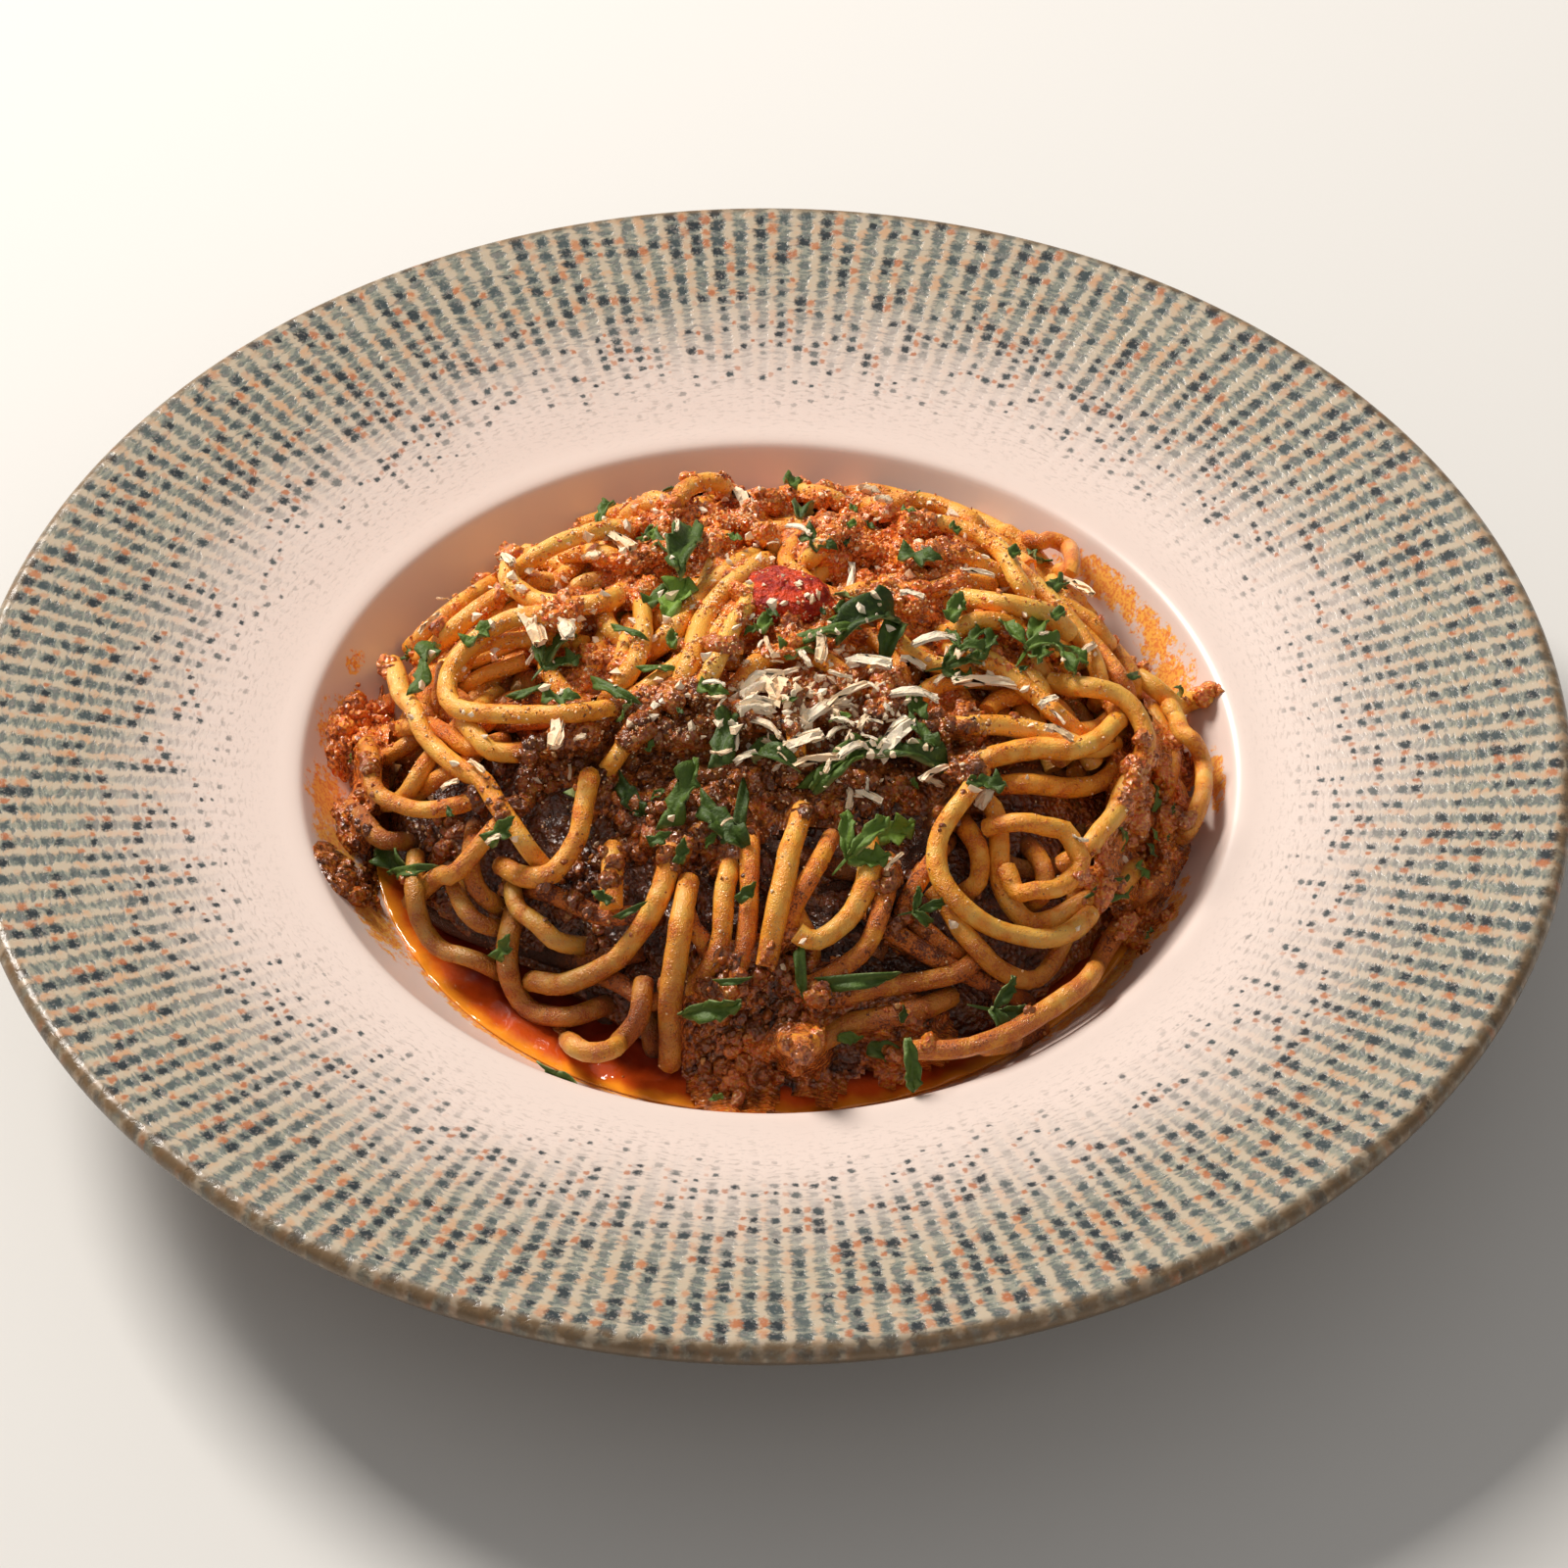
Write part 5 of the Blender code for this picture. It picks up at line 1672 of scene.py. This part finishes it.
def leaf(length_cells, lobes, width, fold, curl, roll, ripple, notch=0.35, cut=0.0):
    """A leaf one unit long from its stalk at the origin along x: points with undersides, and faces."""
    deselect()
    bpy.ops.mesh.primitive_grid_add(x_subdivisions=length_cells, y_subdivisions=6, size=2)
    piece = bpy.context.object
    for point in piece.data.vertices:
        along, across = (point.co.x + 1) / 2, point.co.y
        teeth = 1.0 - notch * ((lobes * (along + 0.13 * (across > 0))) % 1.0)
        blade = math.sin(math.pi * min(along * 0.93 + 0.04, 1.0) ** 0.9) ** 0.8
        chopped = 0.72 + 0.28 * math.sin(2.4 * along + 0.6)
        half_width = width * ((1 - cut) * blade + cut * chopped) * teeth
        sweep = 0.16 * abs(across) ** 1.5 * math.sin(math.pi * along)
        x, y = along + sweep + cut * 0.34 * across * (along - 0.35), across * half_width
        z = fold * abs(y) + ripple * math.sin(9 * along + 2.0 * across) * abs(across) * 0.1
        angle, tilt = curl * (x - 0.5), roll * y
        point.co = (
            (math.sin(angle) + math.sin(curl / 2)) / curl + z * math.sin(angle),
            y * math.cos(tilt * 0.5),
            (math.cos(angle) - math.cos(curl / 2)) / curl + z * math.cos(angle) + abs(y) * math.sin(tilt),
        )
    thickness = piece.modifiers.new("thickness", "SOLIDIFY")
    thickness.thickness = LEAF_THICKNESS
    thickness.offset = 1.0
    bpy.ops.object.modifier_apply(modifier="thickness")
    below = np.array([vertex.normal.z < 0.0 for vertex in piece.data.vertices], float)
    points, faces = taken(piece)
    return points, faces, below


def put_together(*parts):
    """Joins leaves, each given with a turn in degrees, a size and a place, into one shape."""
    points, faces, below = [], [], []
    count = 0
    for (shape, corners, under), degrees, size, place in parts:
        turned_by = math.radians(degrees)
        across, along = math.cos(turned_by), math.sin(turned_by)
        axes = np.array([[across, along, 0], [-along, across, 0], [0, 0, 1]])
        points.append((shape * size) @ axes + np.array(place))
        faces += [tuple(corner + count for corner in face) for face in corners]
        below.append(under)
        count += len(shape)
    return np.vstack(points), faces, np.concatenate(below)


# cells along, teeth, width, fold, curl, roll, ripple, depth of the teeth, share of straight cut
long_leaf = leaf(20, 4, 0.19, 0.7, 0.7, 0.0, 0.8, 0.4)
broad_leaf = leaf(20, 3, 0.33, 0.6, -0.8, 0.5, 1.2, 0.55)
wedge = leaf(20, 3, 0.25, 0.6, 0.7, 0.3, 1.2, 0.45, 0.8)
curled_leaf = leaf(18, 3, 0.26, 0.8, 2.2, 1.2, 0.6, 0.22)
strip = leaf(8, 1, 0.13, 0.5, 0.8, 0.0, 0.6, 0.1, 1.0)
flake = leaf(8, 2, 0.32, 0.5, -0.6, 0.6, 1.6, 0.4, 0.7)
stalk = leaf(8, 1, 0.05, 0.0, 0.3, 0.0, 0.0, 0.0)
fan = put_together(
    (long_leaf, -5, 0.68, (0.32, 0, 0.05)),
    (long_leaf, 38, 0.6, (0.28, 0.02, 0)),
    (broad_leaf, -46, 0.52, (0.28, -0.02, 0.03)),
    (stalk, 0, 0.4, (0, 0, 0)),
)
sprig = put_together(
    (long_leaf, 8, 0.62, (0.38, 0, 0.02)),
    (long_leaf, 66, 0.5, (0.3, 0, 0.06)),
    (curled_leaf, -50, 0.45, (0.3, 0, 0.05)),
    (stalk, 0, 0.42, (0, 0, 0)),
)
leaf_shapes = {
    "long": long_leaf, "broad": broad_leaf, "wedge": wedge, "curled": curled_leaf, "strip": strip,
    "flake": flake, "stalk": stalk, "fan": fan, "sprig": sprig,
}
print("leaf faces:", {name: len(shape[1]) for name, shape in leaf_shapes.items()})

# %% [markdown]
# ## Where the parsley fell
# The larger pieces are listed one by one where they matter to the picture: kind, place on the plan, length,
# direction and a lighter or darker green. Each looks for the highest food under it and lies on that, tilted
# with the heap, with its foot no higher than the crest. Smaller flakes follow at random over the whole top.

# %% Parsley
# kind, x, y, length in mm, direction in degrees, brightness
LEAVES = [
    ("wedge", -61, 9, 11, 80, 0.35), ("flake", -54, 16, 6, 30, 0.5), ("fan", -41, -1, 13, 60, 0.3),
        ("strip", -44, -4, 8, 20, 0.3),
    ("flake", -39, -5, 6, -20, 0.4), ("strip", -30, -5, 9, -40, 0.35), ("flake", -22, 14, 6, 30, 0.4),
        ("strip", -22, -3, 6, 0, 0.5),
    ("flake", -17, 2, 4, 80, 0.5), ("strip", -27, 8, 6, -30, 0.4), ("long", -13.5, 35, 18, -99, 0.25),
        ("broad", -18.5, 10, 11, 66, 1.0),
    ("wedge", -67, -17, 12, -62, 0.2), ("strip", -64, -25, 9, -30, 0.25), ("flake", -48, -29, 6, 10, 0.4),
        ("flake", -46, -46, 5, 20, 0.4),
    ("wedge", -25, -26, 8, -60, 0.1), ("wedge", -16, -35, 11, 58, 0.35), ("wedge", -11, -32, 11, -49, 0.2),
        ("strip", -5, -37, 9, 80, 0.2),
    ("wedge", -37, -62, 10, -15, 0.25), ("strip", -25, -47, 5, 10, 0.2), ("flake", -15, -41, 4, 60, 0.3),
        ("flake", -5, -47, 4, 30, 0.3),
    ("flake", -20, -37, 4, 0, 0.3), ("long", -14, -60, 11, 2, 0.35), ("curled", 11.5, 3.5, 14, 26, 0.1),
        ("curled", 20, 0, 9, 70, 0.2),
    ("sprig", 43, 4, 16, 68, 0.55), ("fan", 46, 15, 14, -62, 0.5), ("fan", 27, -2, 12, 20, 0.3),
        ("sprig", 31, 1, 11, 50, 0.35),
    ("wedge", 36, 3, 7, 60, 0.3), ("flake", 25, -7, 6, -80, 0.35), ("long", 7.5, -29.5, 14, 45, 0.45),
        ("long", 16, -21, 16, 0, 0.2), ("wedge", 24, -14, 7, -50, 0.25),
    ("fan", 11, -43, 14, 48, 0.62), ("broad", 17, -37, 9, 25, 0.9), ("strip", 7, -29, 11, 38, 0.5),
        ("curled", 5, -26, 9, 160, 0.2),
    ("wedge", -8, -25, 11, 79, 0.2), ("curled", -3, -23, 7, 20, 0.3), ("flake", 6, 34, 7, -50, 0.2),
        ("flake", 23, 30, 7, -30, 0.25),
    ("sprig", 22, -47, 9, 20, 0.25), ("broad", 34, -23, 7, 0, 0.25), ("sprig", 34, -55, 14, 8, 0.2),
        ("long", 54, -34, 12, 38, 0.3),
    ("long", 24, -61, 9, -80, 0.35), ("flake", 17, -63, 6, 0, 0.2), ("flake", 12, -62.5, 4, 0, 0.4),
        ("strip", 5.5, -53, 8, -85, 0.3),
    ("strip", 10, -57, 11, 8, 0.25), ("strip", -8, -57, 5, 0, 0.3), ("long", -31, 42, 8, 70, 0.4),
        ("flake", 3.5, 53, 6, 80, 0.4),
    ("strip", 73, 21, 7, -10, 0.3), ("wedge", 50, 32, 7, 60, 0.3), ("broad", 48, 46, 9, 70, 0.25),
        ("flake", 31, 12, 6, 60, 0.55),
    ("flake", 2, 1, 8, 20, 0.5), ("strip", 5, 3, 10, 15, 0.45), ("flake", -2, 6, 5, 60, 0.6),
        ("flake", -12, -7, 5, -30, 0.55),
    ("flake", 43, 40, 4, 60, 0.4), ("flake", 33, 42, 4, 80, 0.4), ("strip", 64, 17, 6, 60, 0.3),
        ("flake", 50, 22, 4, 50, 0.4),
]


FOOT_TOP = 58.4
RANDOM_FLAKES = 46
LEAVES_BEHIND = 46


def lying_frame(x, y, degrees, reach, lift):
    """Place and axes for a thing on the food: it points along its direction and lies on what is highest."""
    turned_by = math.radians(degrees)
    ahead = np.array([math.cos(turned_by), math.sin(turned_by)])
    aside = np.array([-ahead[1], ahead[0]])
    tries = [np.array([x, y]) + ahead * reach * a + aside * reach * b for a in (0.1, 0.5, 0.9)
        for b in (-0.25, 0.25)]
    guides = guide_points(tries)
    hits, _ = landing.seen(tries)
    sight_here = towards_eye(guides)
    heights = ((hits - guides) * sight_here).sum(1)
    height = np.nanmax(heights) if reach < 7 else np.nanpercentile(heights, 75)
    foot_guide = guide_points([(x, y), (x + ahead[0], y + ahead[1])])
    place = foot_guide[0] + towards_eye(foot_guide[:1])[0] * (height + lift)
    place[2] = min(place[2], FOOT_TOP)
    normal = outward(foot_guide[:1])[0] + dice.normal(0, 0.10, 3)
    normal /= np.linalg.norm(normal)
    forward = foot_guide[1] - foot_guide[0]
    forward -= normal * (forward @ normal)
    forward /= np.linalg.norm(forward)
    return place, np.array([forward, np.cross(normal, forward), normal])


landing = Landing(spaghetti, core, pool, bowl, lumps, tomato, *bed_pieces)
kinds = list(leaf_shapes)
leaf_spots = []
for kind, x, y, length, degrees, bright in LEAVES:
    place, axes = lying_frame(x, y, degrees, length, 0.6)
    leaf_spots.append((kinds.index(kind), place, axes, length, bright))
for x, y in plan_draw(150, 0.3, 0.6)[:RANDOM_FLAKES]:
    place, axes = lying_frame(x, y, dice.uniform(0, 360), 2.5, 0.3)
    leaf_spots.append((kinds.index("flake"), place, axes, dice.uniform(1.6, 3.6), dice.uniform(0.1, 0.75)))
for place, normal in zip(*from_outside(LEAVES_BEHIND)):
    side = np.cross(normal, dice.normal(0, 1, 3))
    side /= np.linalg.norm(side)
    axes = np.array([side, np.cross(normal, side), normal])
    leaf_spots.append((int(dice.integers(len(kinds) - 3)), place + normal * 0.5, axes,
        dice.uniform(3.5, 9.0), dice.uniform(0.1, 0.7)))
parsley = joined_copies("parsley", [shape[:2] for shape in leaf_shapes.values()], leaf_spots)
keep_number(parsley, "below", np.concatenate([leaf_shapes[kinds[spot[0]]][2] for spot in leaf_spots]))


def parsley_finish():
    """Fresh green above, lighter in patches, and a dull pale underside."""
    glow = (0.0006, 0.0012, 0.0003)
    green = Finish("parsley", Roughness=0.55, Specular_IOR_Level=0.35, Subsurface_Weight=0.1,
        Subsurface_Radius=glow)
    above = green.mix(green.own("tone"), (0.014, 0.034, 0.004), (0.18, 0.30, 0.034))
    spotted = green.mix(green.rise(green.noise(0.8, 3.0), 0.45, 0.75, 0.0, 0.5), above, (0.11, 0.19, 0.018))
    green.colour(green.mix(green.times(green.own("below"), 0.7), spotted, (0.36, 0.42, 0.17)))
    green.relief(green.noise(1.6, 3.0), 0.25)
    return green.material


dress(parsley, parsley_finish())

# %% [markdown]
# ## Grated cheese
# A grater makes flat shreds up to about 10 mm long, and a lot of short bits and dust. A shred starts as a
# cube that is divided, flattened and roughened, and then twisted and kinked in the middle by moving its
# points. Five kinds differ in width and in how ragged they are, with blunt ends. Most shreds fell in the
# middle of the top, the others all over, and the finest dust clings to everything but the parsley.

# %% Cheese
def shred(bend, taper, wide, thick, rough, seed):
    """A shred one unit long from the origin along x, with edges as rough as the grater left them."""
    deselect()
    bpy.ops.mesh.primitive_cube_add(size=1.0, location=(0.5, 0, 0))
    piece = bpy.context.object
    bpy.ops.object.transform_apply(location=True, rotation=False, scale=False)
    edit_mesh()
    bpy.ops.mesh.subdivide(number_cuts=3)
    bpy.ops.transform.resize(value=(1.0, wide, thick), center_override=(0, 0, 0))
    bpy.ops.transform.vertex_random(offset=rough, uniform=0.6, normal=0.0, seed=seed)
    bpy.ops.object.mode_set(mode="OBJECT")
    for point in piece.data.vertices:
        along = point.co.x
        narrow = 1.0 - taper * abs(2 * along - 1) ** 3
        twist = 0.5 * bend * (along - 0.5)
        y, z = point.co.y * narrow, point.co.z * narrow
        kinked = 1.0 - abs(2 * along - 1.1)
        point.co.y = y * math.cos(twist) - z * math.sin(twist) + bend * 0.14 * kinked
        point.co.z = y * math.sin(twist) + z * math.cos(twist) + 0.04 * math.sin(math.pi * along)
    return taken(piece)


RANDOM_SHREDS = 46
SHREDS_BEHIND = 50
# kind, from x, y to x, y
SHREDS = [
    ("thin", 14.5, 25, 14, 18), ("wide", 9, 6, 9, 0), ("wide", 13.5, -1, 21, -2), ("bent", 21, -8, 29, -9),
        ("thin", 10, -11.5, 17, -7),
    ("bent", 5.5, -16.5, 14, -11), ("bent", -3, -15, 2, -18.5), ("wide", 2.5, -22, 9, -18),
        ("thin", 4, -24.5, 13, -22.5),
    ("bent", 12, -22.5, 18, -19), ("wide", 19, -21.5, 24, -14), ("wide", -5.5, -24, -2, -22),
        ("wide", 15, -29, 19.5, -30),
    ("thin", -5.5, -16, -5.5, -21), ("wide", 23, 1, 27, -1), ("wide", 23, 18, 27, 17),
        ("ragged", -5, -12.5, 1, -11.5), ("ragged", -4.5, -9, 2.5, -6.5),
    ("ragged", -1, -5, 2.5, -12), ("wide", -3, -11, -1, -6), ("wide", -36, -10.5, -36, -18),
        ("wide", -44, 19.5, -40.5, 11.5), ("blob", -36, 12.5, -35, 8),
    ("thin", -49, 45, -46, 36), ("wide", -6.5, 50.5, -3, 41.5), ("thin", -51.5, -13, -48.5, -17),
        ("wide", -30, 38, -24, 33),
    ("blob", -33, 31, -30, 30), ("blob", 16, 56, 20, 56), ("blob", 19, 51, 22, 51),
        ("thin", 53.5, 41, 56, 31), ("thin", 54.5, 13, 58, 20.5),
    ("wide", 47, -3, 50, 0), ("wide", 48, -7, 53, -8), ("thin", 49, -3, 51, -6),
        ("bent", 25, 4.5, 33, 5.5), ("thin", 32, -3, 43, -2.5),
    ("thin", 26, -25, 31, -20), ("wide", -63, 30, -58, 31), ("thin", -28, 36, -26, 31),
        ("blob", -33, -16, -31, -16), ("wide", -48, -29, -45, -29),
    ("thin", 34, 28, 40, 28), ("blob", 36, -27, 38, -24), ("thin", 0, -6, 5, -3),
        ("thin", 20, -41, 23, -38), ("bent", 3, 36, 7, 33),
]
# bend, taper, width, thickness and roughness, for a length of 1
SHRED_KINDS = {
    "thin": (0.4, 0.15, 0.14, 0.08, 0.06), "bent": (1.2, 0.1, 0.16, 0.08, 0.07),
        "wide": (0.3, 0.0, 0.24, 0.09, 0.09),
    "ragged": (0.9, 0.0, 0.34, 0.12, 0.15), "blob": (0.3, 0.2, 0.50, 0.25, 0.17),
}
shred_kinds = list(SHRED_KINDS)
shred_shapes = [shred(*kind, seed) for seed, kind in enumerate(SHRED_KINDS.values())]
crumb_shapes = templates(1, 0.42, ((1, 0.9, 0.5), (1.4, 0.8, 0.5)), 30)
landing = Landing(spaghetti, core, pool, bowl, lumps, tomato, grains, parsley, *bed_pieces)
shred_spots = []
for kind, x, y, to_x, to_y in SHREDS:
    length = math.dist((x, y), (to_x, to_y))
    place, axes = lying_frame(x, y, math.degrees(math.atan2(to_y - y, to_x - x)), length, 0.45)
    shred_spots.append((shred_kinds.index(kind), place, axes, length, dice.uniform(0, 1)))
for _ in range(RANDOM_SHREDS):
    x, y = dice.normal((8, -13), (12, 8)) if dice.uniform() < 0.62 else dice.normal((-8, 4), (34, 32))
    if math.hypot(x, y) < 66:
        length = dice.uniform(1.2, 4.2)
        place, axes = lying_frame(x, y, dice.uniform(0, 360), length, 0.3)
        shred_spots.append((int(dice.integers(3)), place, axes, length, dice.uniform(0, 1)))
for place, normal in zip(*from_outside(SHREDS_BEHIND)):
    shred_spots.append((int(dice.integers(3)), place + normal * 0.4, any_axes(), dice.uniform(1.5, 5.0),
        dice.uniform(0, 1)))
crumb_plan = np.vstack((dice.normal((9, -13), (10, 6), (210, 2)),
    dice.normal((-6, 16), (32, 24), (330, 2))))
crumb_plan = off_wall(crumb_plan[from_axis(crumb_plan) < 66.0])
crumbs = resting_spots(crumb_shapes, landing.seen(crumb_plan), 0.35, 1.2, 0.1, (0.2, 1))
shred_spots += [(which + len(shred_shapes), *rest) for which, *rest in crumbs]
shred_shapes += crumb_shapes
cheese = joined_copies("grated_cheese", shred_shapes, shred_spots, crisp=True)
landing = Landing(spaghetti, core, pool, bowl, lumps, tomato, grains, *bed_pieces)
dust_plan = clustered(np.column_stack((dice.normal(-2, 30, CRUMB_TRIES), dice.normal(8, 26, CRUMB_TRIES))))
from_tomato = np.hypot(*(dust_plan - plan_of(np.array([middle]))[0]).T)
clear = (from_axis(dust_plan) < 68) & ((from_tomato > 7.5) | (dice.uniform(0, 1, len(dust_plan)) < 0.25))
dust_plan = off_wall(dust_plan[clear])
dust_spots = resting_spots(fleck_shapes, landing.seen(dust_plan), 0.12, 0.36, 0.3, (0, 1))
dust = joined_copies("cheese_dust", fleck_shapes, dust_spots)


def cheese_finish(name, dark, light):
    """Ivory, a little waxy, with warm light passing through thin edges."""
    ivory = Finish(name, Roughness=0.5, Subsurface_Weight=0.12, Subsurface_Radius=(0.003, 0.0014, 0.0007))
    ivory.colour(ivory.mix(ivory.own("tone"), dark, light))
    ivory.relief(ivory.noise(1.8, 4.0), 0.2)
    return ivory.material


dress(cheese, cheese_finish("hard cheese", (1.0, 0.70, 0.42), (1.0, 0.86, 0.66)))
dress(dust, cheese_finish("oily cheese dust", (1.0, 0.56, 0.25), (1.0, 0.78, 0.50)))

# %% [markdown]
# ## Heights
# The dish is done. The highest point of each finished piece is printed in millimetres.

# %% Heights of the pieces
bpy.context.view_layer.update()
for piece in (spaghetti, core, pool, lumps, grains, tomato, parsley, cheese, dust, *bed_pieces):
    print(piece.name, "top in mm:", round(max(point.co.z for point in piece.data.vertices) / MM, 1))
